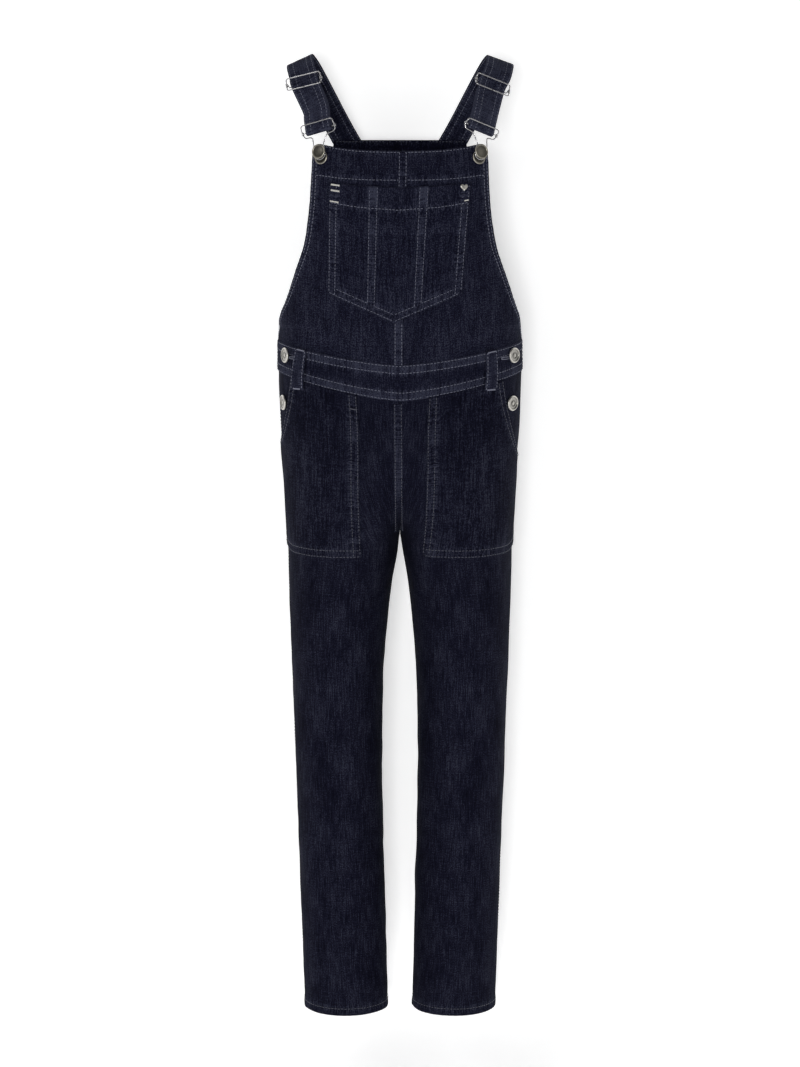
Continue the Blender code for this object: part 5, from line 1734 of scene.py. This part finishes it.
class OVERALLS_OT_stage(bpy.types.Operator):
    """Set up the pale studio floor and wall, the soft lights and the photograph's camera."""
    bl_idname = "overalls.stage"
    bl_label = "Studio"

    def execute(self, context):
        scene = context.scene
        self.camera(scene)
        self.sweep(scene, material_for("studio_paper"))
        # Place, size across and down, watts, and what it is aimed at
        for name, place, size, power, target in (
                ("key_light", (-1.5, -2.0, 1.3), (0.9, 0.9), 11.0, (0, 0, -0.45)),
                ("front_light", (-0.28, -4.5, -0.1), (0.62, 0.62), 66.0, (0, 0, -0.5)),
                ("side_light", (1.8, -1.4, 0.4), (1.0, 1.6), 3.0, (0, 0, -0.5))):
            light = bpy.data.lights.new(name, "AREA")
            light.shape = "RECTANGLE"
            light.size, light.size_y = size
            light.energy = power
            lamp = bpy.data.objects.new(name, light)
            lamp.location = place
            aim = Vector(target) - Vector(place)
            lamp.rotation_euler = aim.to_track_quat("-Z", "Y").to_euler()
            scene.collection.objects.link(lamp)
        world = bpy.data.worlds.new("studio")
        scene.world = world
        world.use_nodes = True
        tree = world.node_tree
        background = tree.nodes["Background"]
        background.inputs["Color"].default_value = (1.0, 1.0, 1.0, 1)
        # White where it is looked at, and dim as a light, so that it doesn't wash out the shadows
        path = add_node(tree, "ShaderNodeLightPath")
        strength = add_node(tree, "ShaderNodeMapRange", {"To Min": 0.1, "To Max": 0.9},
                            {"Value": path.outputs["Is Camera Ray"]})
        tree.links.new(strength.outputs["Result"], background.inputs["Strength"])
        scene.view_settings.view_transform = "Standard"
        return {"FINISHED"}

    @staticmethod
    def camera(scene):
        data = bpy.data.cameras.new("photo_camera")
        camera = bpy.data.objects.new("photo_camera", data)
        scene.collection.objects.link(camera)
        camera.location = CAMERA_PLACE
        aim = Vector(CAMERA_TARGET) - Vector(CAMERA_PLACE)
        camera.rotation_euler = aim.to_track_quat("-Z", "Y").to_euler()
        data.sensor_fit = "VERTICAL"
        data.sensor_height = SENSOR
        data.lens = FOCAL_PIXELS * SENSOR / PHOTO_SIZE[1]
        data.clip_start, data.clip_end = 0.05, 60.0
        scene.camera = camera

    @staticmethod
    def sweep(scene, paper):
        """A floor that curves up into a lit wall close behind the garment."""
        start = WALL_PLACE - SWEEP_RADIUS
        profile = [(-6.0, FLOOR_HEIGHT), (start, FLOOR_HEIGHT)]
        for step in range(1, SWEEP_STEPS + 1):
            turn = math.pi / 2 * step / SWEEP_STEPS
            profile.append((start + SWEEP_RADIUS * math.sin(turn),
                            FLOOR_HEIGHT + SWEEP_RADIUS * (1 - math.cos(turn))))
        profile.append((WALL_PLACE, 3.0))
        vertices = [(x, y, z) for y, z in profile for x in (-4.0, 4.0)]
        faces = [(2 * k, 2 * k + 1, 2 * k + 3, 2 * k + 2) for k in range(len(profile) - 1)]
        mesh = bpy.data.meshes.new("studio_sweep")
        mesh.from_pydata(vertices, [], faces)
        mesh.shade_smooth()
        mesh.materials.append(paper)
        floor = bpy.data.objects.new("studio_sweep", mesh)
        scene.collection.objects.link(floor)


OPERATORS = (
    OVERALLS_OT_stage,
    OVERALLS_OT_legs,
    OVERALLS_OT_bib,
    OVERALLS_OT_back_bib,
    OVERALLS_OT_waistbands,
    OVERALLS_OT_bib_pocket,
    OVERALLS_OT_hip_pockets,
    OVERALLS_OT_belt_loops,
    OVERALLS_OT_button_stands,
    OVERALLS_OT_straps,
    OVERALLS_OT_sliders,
    OVERALLS_OT_clips,
    OVERALLS_OT_bib_buttons,
    OVERALLS_OT_side_buttons,
    OVERALLS_OT_heart_stud,
)


class OVERALLS_PT_panel(bpy.types.Panel):
    """Lists the settings and the pieces that can be made."""
    bl_idname = "OVERALLS_PT_panel"
    bl_label = "Bib overalls"
    bl_space_type = "VIEW_3D"
    bl_region_type = "UI"
    bl_category = "Overalls"

    def draw(self, context):
        layout = self.layout
        for group in (context.scene.overalls_sizes, context.scene.overalls_colours):
            box = layout.box()
            for name in group.__annotations__:
                box.prop(group, name)
        for operator in OPERATORS:
            layout.operator(operator.bl_idname)


CLASSES = (OverallsSizes, OverallsColours, *OPERATORS, OVERALLS_PT_panel)


def register():
    for item in CLASSES:
        bpy.utils.register_class(item)
    bpy.types.Scene.overalls_sizes = PointerProperty(type=OverallsSizes)
    bpy.types.Scene.overalls_colours = PointerProperty(type=OverallsColours)


def unregister():
    del bpy.types.Scene.overalls_colours
    del bpy.types.Scene.overalls_sizes
    for item in reversed(CLASSES):
        bpy.utils.unregister_class(item)


def main():
    register()
    for operator in OPERATORS:
        group, name = operator.bl_idname.split(".")
        getattr(getattr(bpy.ops, group), name)()


if __name__ == "__main__":
    main()
